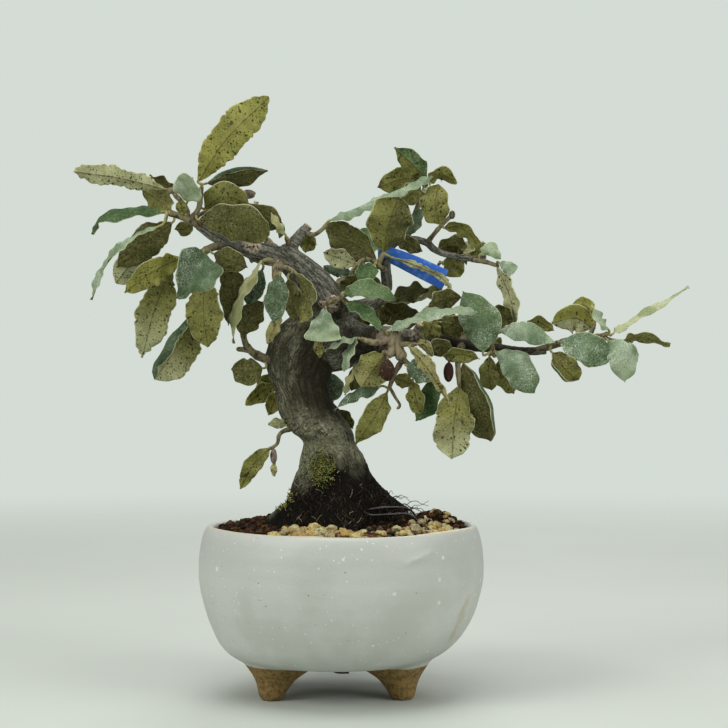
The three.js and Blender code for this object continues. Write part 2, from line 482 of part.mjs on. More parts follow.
function along(values, t) {
  const place = t * (values.length - 1);
  const index = Math.min(Math.floor(place), values.length - 2);
  return values[index] + (values[index + 1] - values[index]) * (place - index);
}

function repeatableRandom(seed) {
  let state = seed;
  return () => {
    state = (state * 16807) % 2147483647;
    return state / 2147483647;
  };
}

// Closed meshes

function closedGeometry(points, faces) {
  let volume = 0;
  for (const [a, b, c] of faces) {
    volume += points[a].dot(points[b].clone().cross(points[c]));
  }
  const outward = volume < 0 ? faces.map(([a, b, c]) => [a, c, b]) : faces;
  const geometry = new THREE.BufferGeometry().setFromPoints(points);
  geometry.setIndex(outward.flat());
  return geometry;
}

// Joins closed rings of equally many points into a body with flat ends. The strips named in
// otherWay are split along their other diagonal.
function loft(rings, otherWay = []) {
  const sides = rings[0].length;
  const faces = [];
  for (let ring = 0; ring < rings.length - 1; ring++) {
    for (let side = 0; side < sides; side++) {
      const a = ring * sides + side;
      const b = ring * sides + (side + 1) % sides;
      const c = b + sides;
      const d = a + sides;
      if (otherWay.includes(side)) {
        faces.push([a, b, d], [b, c, d]);
      } else {
        faces.push([a, b, c], [a, c, d]);
      }
    }
  }
  const last = (rings.length - 1) * sides;
  for (let side = 1; side < sides - 1; side++) {
    faces.push([0, side + 1, side], [last, last + side, last + side + 1]);
  }
  return closedGeometry(rings.flat(), faces);
}

function toSolid(geometry) {
  const bare = geometry.clone();
  bare.deleteAttribute("normal");
  bare.deleteAttribute("uv");
  const merged = mergeVertices(bare, 1e-4);
  return new wasm.Manifold(new wasm.Mesh({
    numProp: 3,
    vertProperties: new Float32Array(merged.attributes.position.array),
    triVerts: new Uint32Array(merged.index.array),
  }));
}

function toGeometry(solid) {
  const mesh = solid.getMesh();
  const geometry = new THREE.BufferGeometry();
  geometry.setAttribute("position", new THREE.BufferAttribute(new Float32Array(mesh.vertProperties), 3));
  geometry.setIndex(new THREE.BufferAttribute(new Uint32Array(mesh.triVerts), 1));
  geometry.computeVertexNormals();
  return geometry;
}

function fuse(geometries) {
  return geometries.map(toSolid).reduce((whole, piece) => whole.add(piece));
}

// A round stem along a curve, with its radius given at even steps from end to end
function stem(points, radii, sides, steps, grow = 0) {
  const curve = curveThrough(points);
  const rings = [];
  let across = new THREE.Vector3(0.31, -0.9, 0.3);
  for (let step = 0; step <= steps; step++) {
    const t = step / steps;
    const tangent = curve.getTangent(t);
    across = across.clone().addScaledVector(tangent, -across.dot(tangent)).normalize();
    const up = tangent.clone().cross(across);
    const radius = along(radii, t) * (1 + 0.05 * Math.sin(step * 2.4)) + grow;
    const middle = curve.getPoint(t);
    if (step === 0) {
      middle.addScaledVector(tangent, -grow);
    }
    if (step === steps) {
      middle.addScaledVector(tangent, grow);
    }
    const ring = [];
    for (let side = 0; side < sides; side++) {
      const turn = side / sides * Math.PI * 2;
      ring.push(middle.clone()
        .addScaledVector(across, radius * Math.cos(turn))
        .addScaledVector(up, radius * Math.sin(turn)));
    }
    rings.push(ring);
  }
  return loft(rings);
}

// Pot

// The bowl is made by hand: its round is a little off, its underside sits to the left, and its
// rim rises at the front right.
function potRadius(radius, height, turn) {
  const low = 1 - height / RIM_HEIGHT;
  const lean = 0.29 * low ** 6;
  return radius * (1 + 0.004 * Math.sin(2 * turn + 0.6) + 0.003 * Math.sin(3 * turn) - lean * Math.cos(turn));
}

function rimLift(turn) {
  const fromDent = THREE.MathUtils.euclideanModulo(turn + 0.62 + Math.PI, 2 * Math.PI) - Math.PI;
  return 0.25 * Math.sin(2 * turn) + 0.9 * Math.exp(-fromDent * fromDent / 0.12);
}

function potRing(radius, height) {
  const ring = [];
  for (let side = 0; side < POT_SIDES; side++) {
    const turn = side / POT_SIDES * Math.PI * 2;
    const lifted = Math.max(0, (height - 50) / (RIM_HEIGHT - 50)) * rimLift(turn);
    const reach = potRadius(radius, height, turn);
    ring.push(new THREE.Vector3(reach * Math.cos(turn), reach * Math.sin(turn), height + lifted));
  }
  return ring;
}

function footSolid({ turn: degrees, inward }) {
  const turn = THREE.MathUtils.degToRad(degrees);
  const outward = new THREE.Vector3(Math.cos(turn), Math.sin(turn), 0);
  const sideways = new THREE.Vector3(-Math.sin(turn), Math.cos(turn), 0);
  const rings = FOOT_OUTLINE.map(([height, distance, halfDepth, halfWidth]) => {
    const ring = [];
    for (let side = 0; side < FOOT_SIDES; side++) {
      const angle = (side + 0.5) / FOOT_SIDES * Math.PI * 2;
      ring.push(new THREE.Vector3(0, 0, height)
        .addScaledVector(outward, distance - inward + halfDepth * Math.cos(angle))
        .addScaledVector(sideways, halfWidth * Math.sin(angle)));
    }
    return ring;
  });
  return loft(rings);
}

function potSolid() {
  const bowl = loft(POT_OUTLINE.map(([radius, height]) => potRing(radius, height)));
  const hole = new THREE.CylinderGeometry(HOLE_RADIUS, HOLE_RADIUS, 2 * POT_FLOOR, HOLE_SIDES)
    .rotateX(Math.PI / 2)
    .translate(0, 0, POT_FLOOR);
  return fuse([bowl, ...FEET.map(footSolid)]).subtract(toSolid(hole));
}

// Drainage net over the hole, and the wire that ties the roots down through it

function netSolid(grow = 0) {
  const width = NET_WIDTH + 2 * grow;
  const height = POT_FLOOR + GAP + NET_THICKNESS / 2;
  const block = (wide, high, x, y) =>
    toSolid(new THREE.BoxGeometry(wide, wide, high).translate(x, y, height));
  let net = block(width, NET_THICKNESS + 2 * grow, 0, 0);
  if (grow === 0) {
    for (const x of [-NET_PITCH, 0, NET_PITCH]) {
      for (const y of [-NET_PITCH, 0, NET_PITCH]) {
        net = net.subtract(block(NET_CELL, 3 * NET_THICKNESS, x, y));
      }
    }
  }
  return net;
}

const WIRE_ROUTE = [
  [-3.6, 1, 8.2], [2.6, 0.9, 8.4], [5, 0, 12], [5, 0, 22], [19, -3, 36], [30, -6, 50], [30, -8, 65],
  [26.6, -9.4, 71.8], [19, -16.6, 73.6], [11, -21.4, 73], [7.4, -23.2, 71.8], [10.6, -22.6, 70.6],
  [18.6, -19.6, 71], [26.2, -15, 70.4], [30.2, -13.4, 65], [29.4, -14.4, 50], [14, -12, 36], [-4.4, -1.4, 24],
  [-5, 0, 19], [-5, 0, 12], [-2.6, -0.9, 8.2], [3, -1, 7.8],
];

function wireSolid(grow = 0) {
  const radius = WIRE_RADIUS + grow;
  const section = new THREE.Shape();
  section.absarc(0, 0, radius, 0, Math.PI * 2, false);
  const path = curveThrough(WIRE_ROUTE.map(([x, y, z]) => new THREE.Vector3(x, y, z)));
  const options = { steps: WIRE_STEPS, curveSegments: 3, extrudePath: path };
  return toSolid(new THREE.ExtrudeGeometry(section, options));
}

// Soil and gravel

function soilHeight(distance, turn) {
  const x = distance * Math.cos(turn);
  const y = distance * Math.sin(turn);
  const crown = SOIL_CROWN * (1 - (distance / SOIL_RADIUS) ** 2);
  const front = 0.5 - 0.5 * Math.sin(turn);
  const heap = 4.2 * Math.exp(-((x - 38) ** 2 + (y - 8) ** 2) / 70);
  return SOIL_EDGE + crown * (1 - 0.55 * front) + heap - 1.2 * front;
}

function soilSolid() {
  const random = repeatableRandom(41);
  const wall = [[29.4, POT_FLOOR + GAP + 0.2], [43.2, 25.6], [48.2, 36.4], [50, 49]];
  const rings = wall.map(([radius, height]) => potRing(radius, height));
  for (const distance of [SOIL_RADIUS, 44, 39.6, 35, 30.4, 25.6, 14]) {
    const ring = [];
    for (let side = 0; side < POT_SIDES; side++) {
      const turn = (side + 0.5 * random()) / POT_SIDES * Math.PI * 2;
      const reach = distance + (distance < 46 ? (random() - 0.5) * 2 : 0);
      const height = soilHeight(distance, turn) + (random() - 0.4) * 2 * GRAIN;
      ring.push(new THREE.Vector3(reach * Math.cos(turn), reach * Math.sin(turn), height));
    }
    rings.push(ring);
  }
  return toSolid(loft(rings));
}

// The layer of gravel along the front and right of the soil, as a curved slab that rises inward
function gravelBed(grow, outerTop, innerTop) {
  const section = ([radius, height], turn) =>
    new THREE.Vector3(radius * Math.cos(turn), radius * Math.sin(turn), height);
  const corners = [
    [GRAVEL.inner - grow, GRAVEL.bottom - grow], [GRAVEL.outer + grow, GRAVEL.bottom - grow],
    [GRAVEL.outer + grow, outerTop], [GRAVEL.inner - grow, innerTop],
  ];
  const rings = [];
  for (let step = 0; step <= GRAVEL.steps; step++) {
    const reach = grow / GRAVEL.inner;
    const from = THREE.MathUtils.degToRad(GRAVEL.from) - reach;
    const to = THREE.MathUtils.degToRad(GRAVEL.to) + reach;
    const turn = from + (to - from) * step / GRAVEL.steps;
    rings.push(corners.map((corner) => section(corner, turn)));
  }
  return loft(rings);
}

function pebble(random, index) {
  const row = index % 3;
  const size = 1.7 + 1.2 * random();
  const share = (Math.floor(index / 3) + 0.5 + 0.5 * (random() - 0.5) + row * 0.33) / Math.ceil(PEBBLES / 3);
  const turn = THREE.MathUtils.degToRad(GRAVEL.from + 4 + (GRAVEL.to - GRAVEL.from - 8) * Math.min(share, 1));
  const distance = [GRAVEL.outer - 2.6, GRAVEL.outer - 6, GRAVEL.inner + 2.9][row] + (random() - 0.5);
  const height = GRAVEL.top + [0.2, 1.3, 2.3][row] + 0.4 * (random() - 0.5);
  return new THREE.IcosahedronGeometry(size, 0)
    .scale(1 + 0.25 * random(), 1, 0.8 + 0.25 * random())
    .rotateZ(random() * 6)
    .rotateX(0.4 * random())
    .translate(distance * Math.cos(turn), distance * Math.sin(turn), height);
}

function gravelSolid() {
  const random = repeatableRandom(977);
  const pebbles = Array.from({ length: PEBBLES }, (_, index) => pebble(random, index));
  return fuse([gravelBed(0, GRAVEL.top, GRAVEL.top + GRAVEL.rise), ...pebbles]);
}

// Trunk and limbs

function trunkSolid(grow = 0) {
  const rings = TRUNK.map(([x, depth, height, halfWidth, halfDepth, flare], index) => {
    const middle = seen([x, depth, height]);
    if (index === 0) {
      middle.z -= grow;
    }
    if (index === TRUNK.length - 1) {
      middle.z += grow;
    }
    const ring = [];
    for (let side = 0; side < TRUNK_SIDES; side++) {
      const turn = side / TRUNK_SIDES * Math.PI * 2;
      const roots = 1 + flare * Math.cos(5 * turn + 0.7);
      const bark = 1 + 0.02 * Math.sin(4 * turn + height * 0.3) + 0.015 * Math.sin(7 * turn - height * 0.5);
      ring.push(middle.clone().add(new THREE.Vector3(
        (halfWidth * roots * bark + grow) * Math.cos(turn),
        (halfDepth * roots * bark + grow) * Math.sin(turn),
        0,
      )));
    }
    return ring;
  });
  const limbs = LIMBS.map(({ at, r }) =>
    stem(at.map(seen), r, LIMB_SIDES, at.length - 1, grow));
  return fuse([loft(rings), ...limbs]);
}

// Leafy sprays

function widthAt(form, t) {
  const { skew, power, end } = FORMS[form];
  const swell = Math.sin(Math.PI * Math.min(t, 1) ** skew);
  return Math.max(Math.max(swell, 0) ** power, end * t ** 4, 0.1);
}

// Nearest point of any twig's middle line, where a leaf's stalk is rooted
function rootOn(twigs, point) {
  let nearest = null;
  for (const { at } of twigs) {
    for (const candidate of curveThrough(at.map(seen)).getPoints(ROOT_SAMPLES)) {
      if (nearest === null || candidate.distanceTo(point) < nearest.distanceTo(point)) {
        nearest = candidate;
      }
    }
  }
  return nearest;
}

function section(middle, side, normal, halfWidth, thickness, fold, waves) {
  const bend = THREE.MathUtils.degToRad(fold);
  const edge = (sign, wave) => middle.clone()
    .addScaledVector(side, sign * halfWidth * Math.cos(bend))
    .addScaledVector(normal, halfWidth * Math.sin(bend) + wave);
  const rib = fold === 0 ? [] : [middle];
  const line = [edge(-1, waves[0]), ...rib, edge(1, waves[1])];
  const upper = line.map((point) => point.clone().addScaledVector(normal, thickness / 2));
  const lower = line.map((point) => point.clone().addScaledVector(normal, -thickness / 2));
  return [...upper, ...lower.reverse()];
}

function leafSolid(row, root, serial) {
  const curve = curveThrough(row.at.map(seen));
  const length = curve.getLength();
  const steps = length < 14 ? 2 : length < 25 ? 3 : 4;
  const thickness = BLADE / Math.cos(THREE.MathUtils.degToRad(row.fold));
  const upward = row.at[row.at.length - 1][0] > row.at[0][0] ? -1 : 1;
  const turn = THREE.MathUtils.degToRad(row.turn);
  const wave = 0.3 + 0.05 * row.width;
  const phase = serial * 0.618;
  const rings = [];
  for (let step = 0; step <= steps; step++) {
    const t = step / steps;
    const middle = curve.getPoint(t);
    const tangent = curve.getTangent(t);
    const front = new THREE.Vector3(0, -1, 0).addScaledVector(tangent, tangent.y).normalize();
    const rise = tangent.clone().cross(front).multiplyScalar(upward);
    const normal = front.multiplyScalar(Math.cos(turn)).addScaledVector(rise, Math.sin(turn));
    const side = tangent.clone().cross(normal).normalize();
    const halfWidth = Math.max(row.width / 2 * widthAt(row.form, t), PETIOLE.halfWidth);
    const rise1 = step === 0 ? 0 : wave * Math.sin(2 * Math.PI * (2.5 * t + phase));
    const rise2 = step === 0 ? 0 : wave * Math.sin(2 * Math.PI * (2.5 * t + phase + 0.35));
    if (step === 0) {
      const stalk = middle.clone().sub(root).normalize();
      const flat = normal.clone().addScaledVector(stalk, -normal.dot(stalk)).normalize();
      const beside = stalk.clone().cross(flat);
      rings.push(section(root, beside, flat, PETIOLE.halfWidth, PETIOLE.thickness, row.fold, [0, 0]));
    }
    rings.push(section(middle, side, normal, halfWidth, thickness, row.fold, [rise1, rise2]));
  }
  return loft(rings, row.fold === 0 ? [2] : [3, 4]);
}

function fruitSolid({ at, width, height }, twigs) {
  const middle = seen(at);
  const top = middle.clone().add(new THREE.Vector3(0, 0, height * 0.4));
  const body = new THREE.SphereGeometry(1, 6, 4).rotateX(Math.PI / 2)
    .scale(width / 2, width / 2, height / 2)
    .translate(middle.x, middle.y, middle.z);
  const stalk = stem([rootOn(twigs, top), top], [0.6, 0.6], TWIG_SIDES, 1);
  return [body, stalk];
}

function spraySolid(spray, clearOf) {
  const twigs = spray.twigs.map(({ at, from, to }) =>
    stem(at.map(seen), [from, to], TWIG_SIDES, at.length - 1));
  const leaves = spray.leaves.map((row, serial) =>
    leafSolid(row, rootOn(spray.twigs, seen(row.at[0])), serial));
  const fruits = spray.fruits.flatMap((row) => fruitSolid(row, spray.twigs));
  return fuse([...twigs, ...leaves, ...fruits]).subtract(clearOf);
}

// Plant tag: one flat strap, doubled round the rising branch

const TAG_ROUTE = [
  [40, 9, 158.6], [30, 10, 163.6], [21.6, 11.2, 168], [17, 11.4, 170], [14.55, 7.7, 170.6],
  [16.4, 4.1, 171.2], [20, 2.6, 171.4], [30, 2, 167.8], [41, 1, 162.8],
];

function tagSolid() {
  const curve = curveThrough(TAG_ROUTE.map(seen));
  const rings = [];
  for (let step = 0; step <= TAG.steps; step++) {
    const t = step / TAG.steps;
    const middle = curve.getPoint(t);
    const tangent = curve.getTangent(t);
    const upright = new THREE.Vector3(0, 0, 1).addScaledVector(tangent, -tangent.z).normalize();
    const through = tangent.clone().cross(upright);
    const corners = [[-1, -1], [1, -1], [1, 1], [-1, 1]];
    rings.push(corners.map(([high, deep]) => middle.clone()
      .addScaledVector(upright, high * TAG.width / 2)
      .addScaledVector(through, deep * TAG.thickness / 2)));
  }
  return toSolid(loft(rings));
}

// Assembly

const tree = new THREE.Group();

function addPart(name, solid, material) {
  const mesh = new THREE.Mesh(toGeometry(solid), material);
  mesh.name = name;
  tree.add(mesh);
}

const trunk = trunkSolid();
const roomForTrunk = trunkSolid(GAP);
const soil = soilSolid()
  .subtract(roomForTrunk)
  .subtract(wireSolid(GAP))
  .subtract(netSolid(GAP))
  .subtract(toSolid(gravelBed(GAP, ABOVE_SOIL, ABOVE_SOIL)));

addPart("pot", potSolid(), STONEWARE);
addPart("drainage_mesh", netSolid(), NET_PLASTIC);
addPart("anchor_wire", wireSolid(), BLACK_WIRE);
addPart("soil", soil, SOIL);
addPart("gravel", gravelSolid(), PALE_STONE);
addPart("trunk", trunk, BARK);
for (const [name, spray] of Object.entries(SPRAYS)) {
  addPart(name, spraySolid(spray, roomForTrunk), LEAF);
}
addPart("plant_tag", tagSolid(), TAG_PLASTIC);

// The origin is the middle of the whole plant's box, on the surface that its feet stand on.
const middle = new THREE.Box3().setFromObject(tree).getCenter(new THREE.Vector3());
for (const mesh of tree.children) {
  mesh.position.set(-middle.x, -middle.y, 0);
}

export default tree;
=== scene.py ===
"""A silverberry bonsai in a round stoneware pot on four feet, dressed piece by piece.

Lengths are millimetres from the pot's axis, +Z up, with the front of the tree towards -Y; meshes are
stored in metres. A place on the tree is a row (x, depth, height): x and height as they appear from
the front, drawn in the upright plane through the pot's axis, and depth behind that plane.
"""

import json
import logging
import math
import random
from dataclasses import dataclass, field
from enum import Enum
from typing import Sequence

import bmesh
import bpy
import numpy as np
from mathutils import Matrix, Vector, noise
from mathutils.bvhtree import BVHTree

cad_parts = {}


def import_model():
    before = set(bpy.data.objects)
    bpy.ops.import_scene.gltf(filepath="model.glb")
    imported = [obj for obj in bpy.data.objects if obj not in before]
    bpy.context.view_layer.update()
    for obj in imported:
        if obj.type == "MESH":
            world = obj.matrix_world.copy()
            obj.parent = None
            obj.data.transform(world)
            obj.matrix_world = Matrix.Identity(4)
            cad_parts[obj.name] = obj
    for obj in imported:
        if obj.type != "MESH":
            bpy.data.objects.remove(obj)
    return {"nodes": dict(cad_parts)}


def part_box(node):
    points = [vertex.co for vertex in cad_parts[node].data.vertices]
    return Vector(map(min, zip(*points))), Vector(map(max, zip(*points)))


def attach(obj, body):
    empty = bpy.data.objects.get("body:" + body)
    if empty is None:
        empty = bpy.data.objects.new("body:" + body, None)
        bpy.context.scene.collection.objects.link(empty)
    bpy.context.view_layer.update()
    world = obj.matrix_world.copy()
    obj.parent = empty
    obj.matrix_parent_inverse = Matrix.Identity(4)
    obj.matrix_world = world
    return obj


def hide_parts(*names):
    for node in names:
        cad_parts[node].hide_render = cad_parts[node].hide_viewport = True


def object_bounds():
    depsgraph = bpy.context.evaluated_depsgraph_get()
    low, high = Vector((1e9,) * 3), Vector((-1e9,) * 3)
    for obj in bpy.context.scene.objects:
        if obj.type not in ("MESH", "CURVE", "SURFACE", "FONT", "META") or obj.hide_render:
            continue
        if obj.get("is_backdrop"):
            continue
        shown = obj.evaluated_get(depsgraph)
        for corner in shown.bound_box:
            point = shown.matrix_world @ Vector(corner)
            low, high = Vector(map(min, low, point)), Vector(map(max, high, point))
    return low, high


LOG = logging.getLogger("bonsai")
METRES = 0.001
TURN = 2 * math.pi
GOLDEN = 0.618
Row = tuple[float, float, float]
Faces = list[tuple[int, ...]]
Light = np.ndarray | Sequence[float]
Stems = tuple[tuple[tuple[Row, ...], tuple[float, ...]], ...]


@dataclass(frozen=True)
class Colour:
    """A colour as it is mixed on a screen, each part from 0 to 255."""

    red: float
    green: float
    blue: float

    def linear(self, alpha: float = 1.0) -> tuple[float, float, float, float]:
        """The colour as light, ready for a shader, with the given alpha."""
        parts = [part / 255 for part in (self.red, self.green, self.blue)]
        light = [part / 12.92 if part <= 0.04045 else ((part + 0.055) / 1.055) ** 2.4 for part in parts]
        return light[0], light[1], light[2], alpha


class Tone(Enum):
    """Colours of leaves and twigs, by the look of each."""

    YELLOW = Colour(138, 138, 64)
    OLIVE = Colour(110, 111, 52)
    # a darker copy of OLIVE: painted shade for leaves that lie in the crown's shadow
    SHADED_OLIVE = Colour(78, 79, 34)
    GREY = Colour(160, 162, 120)
    BEIGE = Colour(142, 138, 88)
    SAGE = Colour(84, 105, 74)
    DARK = Colour(52, 74, 46)
    GREEN = Colour(70, 94, 54)
    FRESH = Colour(51, 81, 37)
    MINT = Colour(116, 133, 106)
    PALE = Colour(138, 152, 120)
    TWIG = Colour(104, 95, 76)
    KNOB = Colour(128, 114, 98)
    DRY = Colour(54, 32, 22)
    BUD = Colour(116, 108, 88)

    def linear(self, alpha: float = 1.0) -> tuple[float, float, float, float]:
        """The tone's colour as light, with the given alpha."""
        return self.value.linear(alpha)


class Form(Enum):
    """How a blade's width runs from foot to tip, as shares of its full width at even steps."""

    OVAL = (0.1, 0.62, 0.9, 1.0, 0.92, 0.64, 0.06)
    ROUND = (0.14, 0.76, 0.97, 1.0, 0.95, 0.74, 0.12)
    BLUNT = (0.1, 0.6, 0.87, 1.0, 1.0, 0.82, 0.34)
    OBLONG = (0.12, 0.66, 0.88, 0.96, 1.0, 0.94, 0.52)
    POINT = (0.16, 0.8, 1.0, 0.9, 0.64, 0.34, 0.04)
    STRAP = (0.2, 0.8, 0.95, 1.0, 0.95, 0.72, 0.1)
    FAN = (0.06, 0.26, 0.5, 0.72, 0.88, 1.0, 0.94)


class Margin(Enum):
    """How deep the notches of a blade's edge are, and how far apart, in millimetres."""

    SMOOTH = (0.06, 4.6)
    UNEVEN = (0.45, 3.2)
    CRENATE = (1.15, 3.5)


@dataclass(frozen=True)
class Twig:
    """A twig along rows, with its radius at both ends and its tone at the start."""

    at: tuple[Row, ...]
    start: float
    end: float
    tone: Tone = Tone.TWIG


@dataclass(frozen=True)
class Leaf:
    """A leaf from the foot of its blade to its tip.

    At a turn of 0 the upper face looks at the front, at 90 up, and at 180 the underside looks at
    the front. A fold raises both edges towards the upper face by that angle, and roll curls the
    margin of each side further that way. The tone is that of the face that shows; half is the tone
    of its other half and tip that of its end, where they differ.
    """

    at: tuple[Row, ...]
    width: float
    turn: float
    form: Form = Form.OVAL
    tone: Tone = Tone.OLIVE
    fold: float = 0.0
    half: Tone | None = None
    tip: Tone | None = None
    roll: tuple[float, float] = (0.0, 0.0)
    margin: Margin = Margin.UNEVEN


@dataclass(frozen=True)
class Fruit:
    """A dry fruit or a bud, by its middle, width, height, tone and the depth of its ribs."""

    at: Row
    width: float
    height: float
    tone: Tone = Tone.DRY
    ribs: float = 0.1


@dataclass(frozen=True)
class Eye:
    """Where the tree is looked at from, level, in millimetres from the pot's axis."""

    x: float = 8.8
    distance: float = 700.0
    height: float = 128.0

    def seen(self, row: Sequence[float]) -> np.ndarray:
        """The point in space that appears at a row's x and height and lies at its depth."""
        x, depth, height = row[:3]
        spread = (self.distance + depth) / self.distance
        across, up = (x - self.x) * spread, (height - self.height) * spread
        return np.array([self.x + across, depth, self.height + up])

    def path(self, rows: Sequence[Row]) -> "Curve":
        """The smooth curve in space through rows."""
        return Curve([self.seen(row) for row in rows])


EYE = Eye()


def unit(vectors: np.ndarray) -> np.ndarray:
    """Vectors made one long.

    Args:
        vectors: One vector, or an array of them along the last axis.

    Returns:
        The same vectors at length one.
    """
    return vectors / np.maximum(np.linalg.norm(vectors, axis=-1, keepdims=True), 1e-9)


def smoothly(value: np.ndarray | float, low: float, high: float) -> np.ndarray:
    """Rises from 0 at low to 1 at high with level ends.

    Args:
        value: What is measured.
        low: Where the rise starts.
        high: Where the rise ends.

    Returns:
        The share of the rise at each value.
    """
    share = np.clip((np.asarray(value, dtype=float) - low) / (high - low), 0, 1)
    return share * share * (3 - 2 * share)


def around(count: int) -> np.ndarray:
    """Angles at even steps round a circle, in radians."""
    return np.arange(count) / count * TURN


def turned(angle: float) -> np.ndarray:
    """The level direction at an angle in radians."""
    return np.array([math.cos(angle), math.sin(angle), 0])


def linked(name: str, data: bpy.types.ID) -> bpy.types.Object:
    """A new object in the scene."""
    made = bpy.data.objects.new(name, data)
    bpy.context.scene.collection.objects.link(made)
    return made


def rough(points: np.ndarray, size: float, seed: float = 0.0) -> np.ndarray:
    """Smooth random values at points.

    Args:
        points: Points, one a line.
        size: The width of one lump, in the points' unit.
        seed: A shift that gives another pattern.

    Returns:
        One value from about -1 to 1 for each point.
    """
    shift = Vector((seed, seed * 1.7, seed * 0.6))
    return np.array([noise.noise(Vector(point) / size + shift) for point in points])


class Curve:
    """A smooth curve through points of any number of values."""

    def __init__(self, points: Sequence[Sequence[float]]) -> None:
        """Keeps the points with one more beyond each end.

        Args:
            points: The points that the curve passes through.
        """
        given = np.array(points, dtype=float)
        self.points = np.vstack([2 * given[0] - given[1], given, 2 * given[-1] - given[-2]])
        self.spans = len(given) - 1

    def at(self, share: float) -> np.ndarray:
        """The curve's point at a share of its way.

        Args:
            share: 0 at the first point, 1 at the last.

        Returns:
            The point.
        """
        place = min(max(share, 0.0), 1.0) * self.spans
        index = min(int(place), self.spans - 1)
        part = place - index
        before, start, end, after = self.points[index:index + 4]
        leave = 0.5 * (end - before)
        arrive = 0.5 * (after - start)
        square = -3 * start + 3 * end - 2 * leave - arrive
        cube = 2 * start - 2 * end + leave + arrive
        return start + leave * part + square * part ** 2 + cube * part ** 3

    def heading(self, share: float) -> np.ndarray:
        """The direction of the curve at a share of its way, one long."""
        return unit(self.at(min(share + 1e-4, 1.0)) - self.at(max(share - 1e-4, 0.0)))

    def sampled(self, count: int) -> np.ndarray:
        """Points at even shares from end to end, with count steps."""
        return np.array([self.at(step / count) for step in range(count + 1)])

    @staticmethod
    def through(values: Sequence[float], steps: int) -> np.ndarray:
        """A smooth run of numbers through some, at even steps from the first to the last."""
        return Curve([[value] for value in values]).sampled(steps)[:, 0]

    def length(self) -> float:
        """The curve's length, measured over short steps."""
        return float(np.linalg.norm(np.diff(self.sampled(60), axis=0), axis=1).sum())


@dataclass
class Body:
    """Vertices and faces gathered for one piece, in millimetres from the pot's axis.

    Each vertex has a tone, whose alpha marks a leaf's upper face or a cut, and a place on its leaf
    or limb.
    """

    points: list[np.ndarray] = field(default_factory=list)
    tones: list[np.ndarray] = field(default_factory=list)
    places: list[np.ndarray] = field(default_factory=list)
    faces: Faces = field(default_factory=list)
    slots: list[int] = field(default_factory=list)
    count: int = 0

    def add(self, points: np.ndarray, faces: Faces, tone: Light,
            slot: int = 0, places: np.ndarray | None = None) -> None:
        """Adds a closed form.

        Args:
            points: Its vertices, one a line.
            faces: Its faces, counted from its own first vertex.
            tone: One colour, or a colour for each vertex.
            slot: The number of its material.
            places: Places on a leaf, one for each vertex.
        """
        size = len(points)
        self.points.append(points)
        self.tones.append(np.broadcast_to(np.asarray(tone, dtype=float), (size, 4)))
        self.places.append(np.zeros((size, 3)) if places is None else places)
        self.faces.extend(tuple(index + self.count for index in face) for face in faces)
        self.slots.extend([slot] * len(faces))
        self.count += size

    def loft(self, rings: np.ndarray, tone: Light, slot: int = 0,
             places: np.ndarray | None = None, closed: bool = False) -> None:
        """Joins closed rings of equally many points.

        Args:
            rings: The rings, as an array of rings, points and coordinates.
            tone: One colour, or a colour for each point of each ring.
            slot: The number of its material.
            places: Places on a leaf, for each point of each ring.
            closed: Whether the last ring joins the first; otherwise both ends are capped.
        """
        count, sides = rings.shape[:2]
        faces = []
        for ring in range(count if closed else count - 1):
            here = ring * sides
            there = (ring + 1) % count * sides
            for side in range(sides):
                following = (side + 1) % sides
                faces.append((here + side, here + following, there + following, there + side))
        if not closed:
            faces.append(tuple(range(sides - 1, -1, -1)))
            faces.append(tuple(range((count - 1) * sides, count * sides)))
        flat_tone = tone if np.ndim(tone) == 1 else np.reshape(tone, (-1, 4))
        flat_places = None if places is None else places.reshape(-1, 3)
        self.add(rings.reshape(-1, 3), faces, flat_tone, slot, flat_places)

    def tube(self, curve: Curve, radii: np.ndarray, sides: int, tone: Light,
             slot: int = 0) -> None:
        """A round stem along a curve.

        Args:
            curve: Its middle line.
            radii: Its radius at even steps from end to end.
            sides: How many sides it has.
            tone: One colour, or a colour for each ring.
            slot: The number of its material.
        """
        steps = len(radii) - 1
        across = np.array([0.31, -0.9, 0.3])
        turns = around(sides)
        rings = []
        for step, radius in enumerate(radii):
            heading = curve.heading(step / steps)
            across = unit(across - heading * across.dot(heading))
            up = np.cross(heading, across)
            ring = np.outer(np.cos(turns), across) + np.outer(np.sin(turns), up)
            rings.append(curve.at(step / steps) + radius * ring)
        if np.ndim(tone) == 2:
            tone = np.repeat(np.asarray(tone)[:, None, :], sides, axis=1)
        self.loft(np.array(rings), tone, slot)

    def mesh(self, name: str, shift: Sequence[float] = (0.0, 0.0), scale: float = 1.0) -> bpy.types.Mesh:
        """Makes the mesh, with its faces pointing out.

        Args:
            name: The mesh's name.
            shift: What is added to x and y, in millimetres.
            scale: What the coordinates are multiplied by.

        Returns:
            The mesh, with its tones and places as attributes.
        """
        points = (np.vstack(self.points) + np.array([shift[0], shift[1], 0.0])) * scale
        mesh = bpy.data.meshes.new(name)
        mesh.from_pydata(points.tolist(), [], self.faces)
        mesh.polygons.foreach_set("material_index", self.slots)
        mesh.polygons.foreach_set("use_smooth", [True] * len(self.faces))
        tones = mesh.attributes.new("tone", "FLOAT_COLOR", "POINT")
        tones.data.foreach_set("color", np.vstack(self.tones).ravel())
        places = mesh.attributes.new("place", "FLOAT_VECTOR", "POINT")
        places.data.foreach_set("vector", np.vstack(self.places).ravel())
        work = bmesh.new()
        work.from_mesh(mesh)
        bmesh.ops.recalc_face_normals(work, faces=work.faces)
        work.to_mesh(mesh)
        work.free()
        mesh.update()
        return mesh


